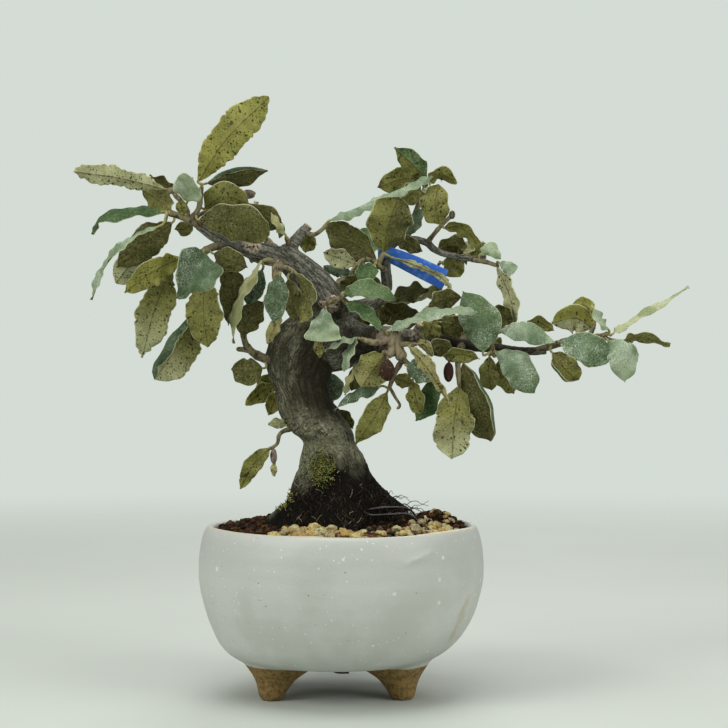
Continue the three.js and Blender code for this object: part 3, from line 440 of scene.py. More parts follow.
class Workshop:
    """Puts finished pieces into the frame."""

    def __init__(self) -> None:
        """Finds the pot's axis from the net over its drain hole."""
        low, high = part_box("drainage_mesh")
        self.axis = ((low.x + high.x) / 2 / METRES, (low.y + high.y) / 2 / METRES)

    def place(self, body: Body, name: str, slot: str, materials: Sequence[bpy.types.Material],
              replaces: Sequence[str] = ()) -> bpy.types.Object:
        """Makes an object of a body and fastens it to the plant.

        Args:
            body: The piece's vertices and faces.
            name: The piece's name.
            slot: The record's slot for the piece's finish; it is not used.
            materials: Its materials, by slot number.
            replaces: The nodes that it stands for.

        Returns:
            The object.
        """
        piece = linked(name, body.mesh(name, self.axis, METRES))
        for material in materials:
            piece.data.materials.append(material)
        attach(piece, "root")
        if replaces:
            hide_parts(*replaces)
        LOG.info("%s: %d faces", name, len(piece.data.polygons))
        return piece

    @staticmethod
    def blended(body: Body, voxel: float, rounds: int) -> tuple[np.ndarray, np.ndarray, Faces]:
        """Melts overlapping forms into one skin and softens it.

        Args:
            body: The forms.
            voxel: The width of the skin's faces.
            rounds: How often the skin is softened.

        Returns:
            The skin's points, its normals and its faces.
        """
        shape = linked("shape", body.mesh("shape"))
        melt = shape.modifiers.new("melt", "REMESH")
        melt.mode = "VOXEL"
        melt.voxel_size = voxel
        soften = shape.modifiers.new("soften", "SMOOTH")
        soften.factor = 0.5
        soften.iterations = rounds
        mesh = bpy.data.meshes.new_from_object(shape.evaluated_get(bpy.context.evaluated_depsgraph_get()))
        points = np.empty(len(mesh.vertices) * 3)
        mesh.vertices.foreach_get("co", points)
        normals = np.empty(len(mesh.vertices) * 3)
        mesh.vertex_normals.foreach_get("vector", normals)
        faces = [tuple(face.vertices) for face in mesh.polygons]
        bpy.data.objects.remove(shape)
        bpy.data.meshes.remove(mesh)
        return points.reshape(-1, 3), normals.reshape(-1, 3), faces


class Measure:
    """A number, vector or colour that a material works out at each point, with the usual signs for sums."""

    def __init__(self, shading: "Shading", socket: bpy.types.NodeSocket) -> None:
        """Keeps the socket and the material's nodes that it belongs to."""
        self.shading = shading
        self.socket = socket

    def __add__(self, other: "Measure | float") -> "Measure":
        """The sum."""
        return self.shading.math("ADD", self, other)

    def __sub__(self, other: "Measure | float") -> "Measure":
        """The difference."""
        return self.shading.math("SUBTRACT", self, other)

    def __rsub__(self, other: float) -> "Measure":
        """The difference from a plain number."""
        return self.shading.math("SUBTRACT", other, self)

    def __mul__(self, other: "Measure | float") -> "Measure":
        """The product."""
        return self.shading.math("MULTIPLY", self, other)

    def __truediv__(self, other: float) -> "Measure":
        """The quotient."""
        return self.shading.math("DIVIDE", self, other)

    def __abs__(self) -> "Measure":
        """The value without its sign."""
        return self.shading.math("ABSOLUTE", self)

    def larger(self, other: "Measure | float") -> "Measure":
        """The larger of two."""
        return self.shading.math("MAXIMUM", self, other)

    def rise(self, low: float, high: float) -> "Measure":
        """Goes smoothly from 0 where the value is low to 1 where it is high."""
        made = self.shading.node("ShaderNodeMapRange", interpolation_type="SMOOTHSTEP")
        self.shading.feed(made.inputs["Value"], self)
        made.inputs["From Min"].default_value = low
        made.inputs["From Max"].default_value = high
        return Measure(self.shading, made.outputs["Result"])

    def fall(self, low: float, high: float) -> "Measure":
        """Goes smoothly from 1 where the value is low to 0 where it is high."""
        return 1.0 - self.rise(low, high)


Amount = Measure | float
Paint = Measure | Colour


class Shading:
    """Builds the nodes of one material, in millimetres."""

    def __init__(self, name: str, roughness: float, specular: float | None = None) -> None:
        """Starts a material with one shader.

        Args:
            name: The material's name.
            roughness: The shader's roughness.
            specular: The strength of its plain reflection, where it isn't the usual one.
        """
        self.material = bpy.data.materials.new(name)
        self.material.use_nodes = True
        self.tree = self.material.node_tree
        self.tree.nodes.clear()
        self.shader = self.node("ShaderNodeBsdfPrincipled")
        self.set("Roughness", roughness)
        output = self.node("ShaderNodeOutputMaterial")
        self.tree.links.new(self.shader.outputs["BSDF"], output.inputs["Surface"])
        where = self.node("ShaderNodeTexCoord")
        scale = self.node("ShaderNodeVectorMath", operation="SCALE")
        scale.inputs["Scale"].default_value = 1 / METRES
        self.tree.links.new(where.outputs["Object"], scale.inputs[0])
        self.position = Measure(self, scale.outputs["Vector"])
        if specular is not None:
            self.set("Specular IOR Level", specular)

    def node(self, kind: str, **settings: object) -> bpy.types.Node:
        """A new node with its settings."""
        made = self.tree.nodes.new(kind)
        for name, value in settings.items():
            setattr(made, name, value)
        return made

    def feed(self, target: bpy.types.NodeSocket, value: Paint | Sequence[float] | float) -> None:
        """Links a measure to a socket, or sets a plain value or a colour on it."""
        if isinstance(value, Measure):
            self.tree.links.new(value.socket, target)
        else:
            target.default_value = value.linear() if isinstance(value, Colour) else value

    def set(self, name: str, value: Paint | Sequence[float] | float) -> None:
        """Feeds one of the shader's own inputs."""
        self.feed(self.shader.inputs[name], value)

    def math(self, operation: str, first: Amount, second: Amount = 0.0) -> Measure:
        """The result of a sum on two numbers, by Blender's name of the sum."""
        made = self.node("ShaderNodeMath", operation=operation)
        self.feed(made.inputs[0], first)
        self.feed(made.inputs[1], second)
        return Measure(self, made.outputs[0])

    def mix(self, share: Amount, first: Paint, second: Paint, blend: str = "MIX") -> Measure:
        """A mix of two colours.

        Args:
            share: How much of the second there is.
            first: The colour at a share of 0.
            second: The colour at a share of 1.
            blend: Blender's name of the way that they mix.

        Returns:
            The mixed colour.
        """
        made = self.node("ShaderNodeMix", data_type="RGBA", blend_type=blend)
        self.feed(made.inputs["Factor"], share)
        self.feed(made.inputs[6], first)
        self.feed(made.inputs[7], second)
        return Measure(self, made.outputs[2])

    def stretched(self, x: float, y: float, z: float, vector: Measure | None = None) -> Measure:
        """A vector, by default the position, with each direction multiplied."""
        made = self.node("ShaderNodeVectorMath", operation="MULTIPLY")
        self.feed(made.inputs[0], vector or self.position)
        made.inputs[1].default_value = (x, y, z)
        return Measure(self, made.outputs["Vector"])

    def axes(self, vector: Measure | None = None) -> list[Measure]:
        """The three numbers of a vector, by default the position."""
        made = self.node("ShaderNodeSeparateXYZ")
        self.feed(made.inputs[0], vector or self.position)
        return [Measure(self, socket) for socket in made.outputs]

    def attribute(self, name: str) -> list[Measure]:
        """The colour, vector and alpha of one of the mesh's attributes."""
        made = self.node("ShaderNodeAttribute", attribute_name=name)
        return [Measure(self, made.outputs[kind]) for kind in ("Color", "Vector", "Alpha")]

    def cloud(self, size: float, detail: float = 3.0, vector: Measure | None = None,
              roughness: float = 0.55) -> Measure:
        """Soft random patches from about 0.3 to 0.7.

        Args:
            size: The width of the largest patch, in millimetres.
            detail: How many finer layers there are.
            vector: Where it is read, by default the position.
            roughness: How strong the finer layers are.

        Returns:
            The patches.
        """
        made = self.node("ShaderNodeTexNoise")
        self.feed(made.inputs["Vector"], vector or self.position)
        made.inputs["Scale"].default_value = 1 / size
        made.inputs["Detail"].default_value = detail
        made.inputs["Roughness"].default_value = roughness
        return Measure(self, made.outputs[0])

    def dots(self, pitch: float, radius: float, share: Amount) -> Measure:
        """Round dots at random places.

        Args:
            pitch: The usual distance from dot to dot.
            radius: A dot's radius.
            share: How many of the places have a dot, from 0 to 1.

        Returns:
            1 in a dot and 0 outside.
        """
        made = self.node("ShaderNodeTexVoronoi")
        self.feed(made.inputs["Vector"], self.position)
        made.inputs["Scale"].default_value = 1 / pitch
        chosen = self.math("LESS_THAN", self.axes(Measure(self, made.outputs["Color"]))[0], share)
        return Measure(self, made.outputs["Distance"]).fall(0.6 * radius / pitch, radius / pitch) * chosen

    def cracks(self, size: float, width: float, vector: Measure | None = None) -> Measure:
        """Thin wandering lines.

        Args:
            size: The usual distance from line to line, in millimetres.
            width: How wide the lines are, up to about 0.1.
            vector: Where they are read, by default the position.

        Returns:
            1 on a line and 0 between.
        """
        return abs(self.cloud(size, 3.0, vector) - 0.5).fall(0.0, width)

    def relief(self, height: Measure, depth: float, strength: float = 1.0) -> None:
        """Bumps the surface by a height from 0 to 1.

        Args:
            height: The height.
            depth: How deep a height of 1 is, in millimetres.
            strength: How strongly it shows.
        """
        made = self.node("ShaderNodeBump")
        made.inputs["Strength"].default_value = strength
        made.inputs["Distance"].default_value = depth * METRES
        self.feed(made.inputs["Height"], height)
        self.set("Normal", Measure(self, made.outputs[0]))


@dataclass(frozen=True)
class StonewareFinish:
    """Pale grey glaze over brown clay, which is bare below the glaze's edge.

    A row of flecks has their pitch, radius, share of places and strength.
    """

    glaze: Colour = Colour(180, 183, 176)
    cloudy: Colour = Colour(170, 174, 165)
    thick: Colour = Colour(161, 164, 158)
    warm: Colour = Colour(178, 174, 154)
    fleck: Colour = Colour(228, 230, 224)
    speck: Colour = Colour(92, 86, 70)
    clay: Colour = Colour(126, 102, 54)
    dark_clay: Colour = Colour(92, 72, 36)
    stain: Colour = Colour(146, 122, 72)
    rim: Colour = Colour(176, 166, 138)
    flecks: tuple[tuple[float, ...], ...] = (
        (2.4, 0.32, 0.5, 0.6), (5.0, 0.66, 0.35, 0.5), (9.0, 1.15, 0.4, 0.4),
    )
    specks: tuple[float, ...] = (3.6, 0.32, 0.5, 0.9)
    glaze_edge: float = 13.4
    rim_height: float = 65.0
    stain_from: tuple[float, float] = (47.4, 38.6)
    stain_to: tuple[float, float] = (41.6, 24.6)

    def material(self, axis: Sequence[float]) -> bpy.types.Material:
        """The finished material.

        Args:
            axis: The pot's axis, x and y in millimetres.

        Returns:
            The material.
        """
        shading = Shading("stoneware", 0.4)
        x, y, z = shading.axes()
        colour = shading.mix(shading.cloud(22.0, 5.0).rise(0.38, 0.62), self.glaze, self.cloudy)
        colour = shading.mix(z.rise(40.0, 60.0) * 0.75, colour, self.thick)
        colour = shading.mix(shading.cloud(3.0, 5.0).rise(0.5, 0.75) * 0.3, colour, self.warm)
        marks = [(row, self.fleck) for row in self.flecks] + [(self.specks, self.speck)]
        for (pitch, radius, share, strength), tone in marks:
            colour = shading.mix(shading.dots(pitch, radius, share) * strength, colour, tone)
        bands = shading.cloud(1.6, 3.0, shading.stretched(0.08, 0.08, 1.0)).rise(0.4, 0.6)
        colour = shading.mix(bands * 0.16, colour, self.cloudy)
        colour = shading.mix(self.streak(shading, axis, x, y, z), colour, self.stain)
        lip = z.rise(self.rim_height - 0.6, self.rim_height + 0.4)
        colour = shading.mix(lip * 0.5, colour, self.rim)
        level = z + (shading.cloud(14.0, 4.0) * 3.6 - 1.8)
        glazed = level.rise(self.glaze_edge - 0.4, self.glaze_edge + 0.4)
        clay = shading.mix(shading.cloud(1.4, 5.0).rise(0.42, 0.62), self.clay, self.dark_clay)
        shading.set("Base Color", shading.mix(glazed, clay, colour))
        shading.set("Roughness", (1.0 - glazed) * 0.4 + 0.5)
        shading.set("Coat Weight", glazed * 0.05)
        shading.set("Coat Roughness", 0.2)
        shading.relief(shading.cloud(1.0, 4.0) + shading.cloud(7.0) * 1.6, 0.14, 0.6)
        return shading.material

    def streak(self, shading: Shading, axis: Sequence[float], x: Measure, y: Measure, z: Measure) -> Measure:
        """The brown run under the glaze at the front right.

        Args:
            shading: The material's nodes.
            axis: The pot's axis, x and y in millimetres.
            x: The position from side to side.
            y: The position in depth.
            z: The position's height.

        Returns:
            How strong the stain is, from 0 to 1.
        """
        (left, top), (right, low) = self.stain_from, self.stain_to
        slope = (left - right) / (top - low)
        middle = z * slope + (axis[0] + left - slope * top)
        away = x + (shading.cloud(7.0, 3.0) * 5.0 - 2.5) - middle
        narrow = abs(away).fall(0.2, 1.6)
        inside = z.rise(low - 3.0, low + 1.0) * z.fall(top, top + 4.0)
        front = y.fall(axis[1] - 22.0, axis[1] - 12.0)
        return narrow * inside * front * 0.35


@dataclass(frozen=True)
class SoilFinish:
    """Damp granular potting soil, tinted grain by grain."""

    shade: Colour = Colour(22, 14, 10)

    def material(self) -> bpy.types.Material:
        """The finished material."""
        shading = Shading("soil", 0.95, 0.1)
        tone, _, _ = shading.attribute("tone")
        shading.set("Base Color", shading.mix(shading.cloud(0.9, 4.0).rise(0.34, 0.62), self.shade, tone))
        shading.relief(shading.cloud(0.5, 5.0), 0.3, 0.9)
        return shading.material


@dataclass(frozen=True)
class PebbleFinish:
    """Rough quartz and feldspar grit with ochre stains."""

    stain: Colour = Colour(140, 98, 44)
    pale: Colour = Colour(196, 184, 148)
    pit: Colour = Colour(74, 56, 32)

    def material(self) -> bpy.types.Material:
        """The finished material."""
        shading = Shading("gravel", 0.75, 0.3)
        tone, _, _ = shading.attribute("tone")
        colour = shading.mix(shading.cloud(2.2, 4.0).rise(0.5, 0.68) * 0.5, tone, self.stain)
        colour = shading.mix(shading.cloud(1.2, 3.0).rise(0.54, 0.68) * 0.5, colour, self.pale)
        pits = shading.cloud(0.8, 4.0).fall(0.38, 0.5)
        shading.set("Base Color", shading.mix(pits * 0.7, colour, self.pit))
        shading.relief(shading.cloud(0.6, 5.0), 0.3, 0.9)
        return shading.material


@dataclass(frozen=True)
class BarkFinish:
    """Grey bark, finely lined along each limb, mottled on the trunk and black and damp at the foot.

    The mesh's place is the position beside and along the nearest limb. Its tone's red marks scaly
    knobs, its green the trunk's rugged bark, its blue how strongly painted shade darkens the bark
    within the crown and on the trunk's right, and its alpha the cut faces.
    """

    grey: Colour = Colour(118, 117, 95)
    limb: Colour = Colour(118, 118, 106)
    brown: Colour = Colour(40, 37, 27)
    film: Colour = Colour(108, 112, 84)
    foot: Colour = Colour(9, 7, 4)
    # painted shade: the dark that the bark turns to within the crown and on the trunk's right
    painted_shade: Colour = Colour(36, 32, 22)
    cut: Colour = Colour(186, 168, 126)
    ring: Colour = Colour(140, 116, 78)
    knob: Colour = Colour(178, 162, 142)
    lichen: Colour = Colour(168, 170, 152)
    dark: Colour = Colour(34, 30, 22)
    damp_height: float = 85.0
    flank: float = -6.0
    damp_slope: float = 0.9
    collar: tuple[float, float] = (96.0, 108.0)

    def material(self, axis: Sequence[float]) -> bpy.types.Material:
        """The finished material.

        Args:
            axis: The pot's axis, x and y in millimetres.

        Returns:
            The material.
        """
        shading = Shading("bark", 0.85, 0.08)
        x, _, height = shading.axes()
        marks, _, sawn = shading.attribute("tone")
        knobby, old, shaded = shading.axes(marks)
        colour, relief = self.grown(shading, height, old)
        patches = shading.cloud(8.0, 5.0)
        colour = shading.mix(patches.rise(0.46, 0.62) * old * 0.25, colour, self.film)
        crust = shading.cloud(2.2, 6.0, None, 0.7).rise(0.6, 0.68)
        colour = shading.mix(crust * 0.5, colour, self.lichen)
        colour = shading.mix(shading.dots(1.7, 0.36, 0.45) * 0.7, colour, self.dark)
        fine = shading.cloud(0.8, 4.0, None, 0.75)
        colour = shading.mix(fine.fall(0.38, 0.48) * 0.6, colour, self.dark)
        colour = shading.mix(fine.rise(0.56, 0.66) * 0.4, colour, self.lichen)
        # painted shade: the tone's blue, broken up by patches, darkens the bark within the crown and on the
        # trunk's right
        mottled = shaded + (patches - 0.5) * 1.2
        colour = shading.mix(mottled.rise(0.1, 0.8) * 0.88, colour, self.painted_shade)
        past = (axis[0] + self.flank - x).larger(0.0)
        ragged = height + past * self.damp_slope + patches * 20.0
        damp = ragged.fall(self.damp_height + 10.0, self.damp_height + 20.0)
        colour = shading.mix(damp * 0.985, colour, self.foot)
        scales = shading.mix(shading.cloud(1.3, 4.0).rise(0.36, 0.56), self.brown, self.knob)
        colour = shading.mix(knobby, colour, scales)
        rings = shading.mix(shading.cloud(0.7, 3.0).rise(0.4, 0.65), self.cut, self.ring)
        shading.set("Base Color", shading.mix(sawn, colour, rings))
        shading.relief(relief, 0.45, 0.9)
        return shading.material

    def grown(self, shading: Shading, height: Measure, old: Measure) -> tuple[Measure, Measure]:
        """The bark as it grew, lined on the limbs and rugged on the trunk.

        Args:
            shading: The material's nodes.
            height: The position's height.
            old: How far each point belongs to the trunk.

        Returns:
            The bark's colour and its relief.
        """
        _, place, _ = shading.attribute("place")
        lines = shading.cloud(1.5, 5.0, shading.stretched(1.0, 1.0, 0.13, place), 0.72)
        grooves = shading.cracks(1.7, 0.08, shading.stretched(1.0, 1.0, 0.1, place))
        whorls = shading.cracks(2.6, 0.08, shading.stretched(1.0, 1.0, 0.24, place))
        swirls = shading.cloud(2.2, 6.0, shading.stretched(1.0, 1.0, 0.22, place), 0.78)
        wrinkles = shading.cloud(1.1, 4.0, shading.stretched(0.3, 0.3, 1.2, place), 0.6)
        low, high = self.collar
        ringed = height.rise(low - 5, low) * height.fall(high, high + 6)
        smooth = shading.mix(lines.rise(0.34, 0.6), self.brown, self.limb)
        smooth = shading.mix(0.45, smooth, self.limb)
        smooth = shading.mix(grooves * 0.8, smooth, self.brown)
        rugged = shading.mix(swirls.rise(0.38, 0.58), self.brown, self.grey)
        rugged = shading.mix(0.25, rugged, self.grey)
        rugged = shading.mix(whorls * 0.8, rugged, self.brown)
        collar = shading.mix(wrinkles.rise(0.36, 0.56), self.brown, self.grey)
        rugged = shading.mix(ringed * 0.6, rugged, collar)
        rugged = shading.mix(height.fall(low, low + 5) * 0.4, rugged, self.grey)
        bumps = shading.cloud(0.7, 4.0) - whorls * old
        return shading.mix(old, smooth, rugged), bumps + lines


@dataclass(frozen=True)
class LeafFinish:
    """A scaly blade: dark dots below, silver scurf above, its midrib and a painted highlight at its edge.

    A row of dots has their pitch, radius and strength.
    """

    dot: Colour = Colour(40, 30, 12)
    shade: Colour = Colour(146, 132, 92)
    down: Colour = Colour(190, 184, 134)
    silver: Colour = Colour(176, 188, 168)
    deep: Colour = Colour(158, 178, 148)
    # the colour of the painted highlight along each blade's edge
    rim: Colour = Colour(196, 196, 158)
    rib: Colour = Colour(66, 54, 24)
    dots: tuple[tuple[float, float, float], ...] = ((1.15, 0.34, 0.9), (0.8, 0.22, 0.8), (2.2, 0.56, 0.9))
    vein_pitch: float = 3.1
    vein_slant: float = 0.85

    def material(self) -> bpy.types.Material:
        """The finished material; the tone's alpha is 1 on a scurfy upper face, 0.7 on a bare green one."""
        shading = Shading("leaf", 0.6, 0.2)
        colour, _, face = shading.attribute("tone")
        upper, scurfy = face.rise(0.2, 0.5), face.rise(0.8, 0.95)
        under = 1.0 - upper
        _, place, _ = shading.attribute("place")
        along, across, share = shading.axes(place)
        away = abs(across)
        patches = shading.cloud(5.0, 4.0).rise(0.42, 0.62)
        colour = shading.mix(patches * under * 0.32, colour, self.shade, "MULTIPLY")
        velvet = shading.cloud(0.8, 4.0, shading.stretched(1.0, 0.9, 1.1)).rise(0.46, 0.66)
        colour = shading.mix(velvet * 0.16, colour, self.down)
        veins = self.veins(shading, along, away)
        colour = shading.mix(veins * 0.12, colour, self.rib)
        broken = shading.cloud(1.8, 3.0).rise(0.4, 0.56)
        midrib = away.fall(0.14, 0.36) * (under + 0.2)
        colour = shading.mix(midrib * (broken * 0.35 + 0.25), colour, self.rib)
        # the silver scurf is the leaf's own; its strength in broad patches is painted sheen
        sheen = shading.cloud(10.0, 2.5).rise(0.4, 0.6)
        scurf = shading.cloud(0.45, 3.0, None, 0.75).rise(0.45, 0.58)
        scales = (scurf * 0.5).larger(shading.dots(0.9, 0.3, 0.8))
        silvered = scales * (sheen * 0.75 + 0.2)
        colour = shading.mix(silvered * ((scurfy * 0.85 + 0.15) * upper), colour, self.silver)
        rubbed = shading.cloud(9.0, 2.0).fall(0.4, 0.54) * upper
        colour = shading.mix(rubbed * 0.6, colour, self.deep, "MULTIPLY")
        crowded = shading.cloud(8.0, 2.0).rise(0.43, 0.6) * 0.6 + 0.35
        for pitch, radius, strength in self.dots:
            colour = shading.mix(shading.dots(pitch, radius, crowded) * under * strength, colour, self.dot)
        blotch = shading.cloud(3.4, 4.0).rise(0.64, 0.68) * under
        colour = shading.mix(blotch * 0.75, colour, self.dot)
        # painted highlight: the outermost share of each blade is mixed towards the pale edge colour
        shading.set("Base Color", shading.mix(share.rise(0.94, 1.0) * 0.6, colour, self.rim))
        shading.set("Subsurface Weight", 0.06)
        shading.set("Subsurface Radius", (0.6, 1.0, 0.3))
        shading.set("Subsurface Scale", 0.4 * METRES)
        shading.relief(veins * -0.6 + shading.cloud(0.9, 4.0), 0.22, 0.7)
        return shading.material

    def veins(self, shading: Shading, along: Measure, away: Measure) -> Measure:
        """The side veins, which leave the midrib at a slant.

        Args:
            shading: The material's nodes.
            along: The distance from the foot of the blade.
            away: The distance from the midrib.

        Returns:
            1 on a vein and 0 between.
        """
        wander = shading.cloud(4.0, 2.0) * 1.6
        turns = (along - away * self.vein_slant + wander) / self.vein_pitch
        return abs(shading.math("FRACT", turns) - 0.5).rise(0.4, 0.5)


@dataclass(frozen=True)
class WoodyFinish:
    """Twigs, buds, dry fruits and hair roots, tinted by the mesh, with small scales."""

    groove: Colour = Colour(48, 38, 28)
    scale: Colour = Colour(158, 150, 128)

    def material(self) -> bpy.types.Material:
        """The finished material."""
        shading = Shading("twig", 0.8, 0.15)
        tone, _, _ = shading.attribute("tone")
        grain = shading.cloud(1.3, 5.0, shading.stretched(1.0, 1.0, 0.4), 0.6)
        colour = shading.mix(grain.rise(0.3, 0.56), self.groove, tone)
        shading.set("Base Color", shading.mix(shading.dots(0.7, 0.24, 0.4) * 0.35, colour, self.scale))
        shading.relief(grain, 0.3, 0.8)
        return shading.material


@dataclass(frozen=True)
class MossFinish:
    """Moss, tinted strand by strand."""

    deep: Colour = Colour(40, 52, 20)

    def material(self) -> bpy.types.Material:
        """The finished material."""
        shading = Shading("moss", 0.85)
        tone, _, _ = shading.attribute("tone")
        shade = shading.cloud(0.8, 3.0).rise(0.35, 0.7)
        shading.set("Base Color", shading.mix(shade * 0.35, tone, self.deep))
        shading.relief(shading.cloud(0.3, 3.0), 0.1, 0.5)
        return shading.material


@dataclass(frozen=True)
class WireFinish:
    """Black coated wire, a little dusty."""

    coat: Colour = Colour(14, 14, 15)
    dust: Colour = Colour(46, 42, 36)

    def material(self) -> bpy.types.Material:
        """The finished material."""
        shading = Shading("black_wire", 0.4)
        dusty = shading.cloud(3.0, 4.0).rise(0.45, 0.75)
        shading.set("Base Color", shading.mix(dusty, self.coat, self.dust))
        shading.set("Roughness", dusty * 0.4 + 0.36)
        shading.relief(shading.cloud(0.8, 3.0), 0.05, 0.5)
        return shading.material


@dataclass(frozen=True)
class PlasticFinish:
    """Moulded plastic, rubbed paler here and there."""

    name: str
    colour: Colour
    worn: Colour
    roughness: float

    def material(self) -> bpy.types.Material:
        """The finished material."""
        shading = Shading(self.name, self.roughness)
        rubbed = shading.cloud(2.4, 5.0).rise(0.46, 0.72)
        shading.set("Base Color", shading.mix(rubbed * 0.7, self.colour, self.worn))
        shading.relief(shading.cloud(0.9, 3.0), 0.05, 0.5)
        return shading.material


@dataclass(frozen=True)
class FloorFinish:
    """A pale matt floor that fades out into the backdrop."""

    pale: Colour = Colour(177, 182, 174)
    soft: Colour = Colour(174, 179, 171)
    fade_from: float = 420.0
    fade_to: float = 1150.0

    def material(self) -> bpy.types.Material:
        """The finished material."""
        shading = Shading("floor", 0.7)
        shading.set("Base Color", shading.mix(shading.cloud(160.0, 3.0).rise(0.3, 0.7), self.pale, self.soft))
        length = shading.node("ShaderNodeVectorMath", operation="LENGTH")
        shading.feed(length.inputs[0], shading.position)
        shading.set("Alpha", Measure(shading, length.outputs["Value"]).fall(self.fade_from, self.fade_to))
        return shading.material


@dataclass
class Assembly:
    """A sub-assembly, with the workshop that places its pieces."""

    workshop: Workshop


@dataclass
class Pot(Assembly):
    """The round bowl, its feet and its drain hole.

    The outline's rows are radius and height, up the outside and down the inside. A foot has its
    direction in degrees and how far it is set in; its outline's rows are height, distance from the
    axis, half depth and half width. The crease is a fold in the glaze, as seen from the front.
    """

    rim_height: float = 65.4
    bottom: float = 13.8
    floor: float = 18.2
    hole_radius: float = 7.0
    outline: tuple[tuple[float, float], ...] = (
        (33, 13.8), (38.4, 14.6), (43.4, 17.6), (47.8, 22.8), (52, 31.5), (54.8, 42), (55.3, 50), (54.6, 58),
        (53, 64), (51.6, 65.4), (49.8, 65), (49.4, 62), (50.6, 49), (48.8, 36), (44, 25), (30, 18.2),
    )
    feet: tuple[tuple[float, float], ...] = ((210, 0), (330, 3.4), (31, 3.8), (148, 0.8))
    foot_outline: tuple[tuple[float, float, float, float], ...] = (
        (0, 30.7, 3.6, 4), (0.9, 30.6, 4.6, 5), (4.5, 29.8, 6, 6.6), (8, 28.6, 8.2, 8.6),
        (11, 27, 11.6, 11.6), (15.4, 24.6, 17, 16),
    )
    sides: int = 150
    foot_sides: int = 24
    voxel: float = 0.95
    softening: int = 6
    crease: tuple[tuple[float, float], ...] = ((25.9, 49.6), (34.9, 53.9))

    def radius(self, radius: float, height: float, turns: np.ndarray) -> np.ndarray:
        """The bowl's reach, a little off the round, with its underside to the left."""
        lean = 0.29 * (1 - height / self.rim_height) ** 6
        hand = 0.004 * np.sin(2 * turns + 0.6) + 0.003 * np.sin(3 * turns)
        return radius * (1 + hand - lean * np.cos(turns))

    def ring(self, radius: float, height: float, sides: int) -> np.ndarray:
        """One round of the bowl, lifted near the rim as the hand left it.

        Args:
            radius: The round's radius.
            height: Its height.
            sides: How many points it has.

        Returns:
            The points.
        """
        turns = around(sides)
        from_dent = (turns + 0.62 + math.pi) % TURN - math.pi
        lift = 0.25 * np.sin(2 * turns) + 0.9 * np.exp(-from_dent ** 2 / 0.12)
        lifted = max(0.0, (height - 50) / (self.rim_height - 50)) * lift
        reach = self.radius(radius, height, turns)
        return np.stack([reach * np.cos(turns), reach * np.sin(turns), height + lifted], axis=1)

    def foot(self, body: Body, turn: float, inward: float) -> None:
        """Adds one foot, flaring up into the bowl.

        Args:
            body: Where it is added.
            turn: Its direction in degrees.
            inward: How far it is set in.
        """
        outward = turned(math.radians(turn))
        sideways = np.array([-outward[1], outward[0], 0])
        turns = around(self.foot_sides)
        rings = []
        for height, distance, half_depth, half_width in Curve(self.foot_outline).sampled(16):
            ring = np.outer(distance - inward + half_depth * np.cos(turns), outward)
            ring += np.outer(half_width * np.sin(turns), sideways)
            ring[:, 2] = height
            rings.append(ring)
        body.loft(np.array(rings), Tone.TWIG.linear())

    def build(self) -> bpy.types.Object:
        """Makes the pot and returns it."""
        shape = Body()
        wall = Curve(self.outline).sampled(90)
        profile = [(self.hole_radius, self.bottom), *wall, (self.hole_radius, self.floor)]
        shape.loft(np.array([self.ring(radius, height, self.sides) for radius, height in profile]),
                   Tone.TWIG.linear(), closed=True)
        for turn, inward in self.feet:
            self.foot(shape, turn, inward)
        points, normals, faces = self.workshop.blended(shape, self.voxel, self.softening)
        points = points + normals * self.handwork(points)[:, None]
        points[:, 2] = np.where(points[:, 2] < 0.4, 0.0, points[:, 2])
        body = Body()
        body.add(points, faces, (1.0, 1.0, 1.0, 0.0))
        finish = StonewareFinish().material(self.workshop.axis)
        return self.workshop.place(body, "pot_glazed", "stoneware", [finish], ["pot"])

    def handwork(self, points: np.ndarray) -> np.ndarray:
        """How far the potter's hand moved each point of the wall outward.

        Args:
            points: Points of the pot's skin.

        Returns:
            One distance for each point.
        """
        height = points[:, 2]
        turns = np.arctan2(points[:, 1], points[:, 0])
        thrown = 0.02 * np.sin(height * 1.15 + 0.9 * np.sin(turns)) * smoothly(height, 24, 34)
        uneven = 0.2 * rough(points, 19.0, 3.0) + 0.07 * rough(points, 6.0, 8.0)
        (x1, z1), (x2, z2) = self.crease
        seen = (EYE.distance + points[:, 1]) / EYE.distance
        x = EYE.x + (points[:, 0] - EYE.x) / seen
        z = EYE.height + (height - EYE.height) / seen
        run = np.clip(((x - x1) * (x2 - x1) + (z - z1) * (z2 - z1)) / ((x2 - x1) ** 2 + (z2 - z1) ** 2), 0, 1)
        above = (z - z1) * (x2 - x1) - (x - x1) * (z2 - z1)
        away = np.hypot(x - x1 - run * (x2 - x1), z - z1 - run * (z2 - z1))
        fold = 0.32 * np.exp(-(away / 1.3) ** 2) * np.where(above > 0, 1, 0.4) * (points[:, 1] < 0)
        return (thrown + uneven) * smoothly(height, 1.0, 8.0) + fold


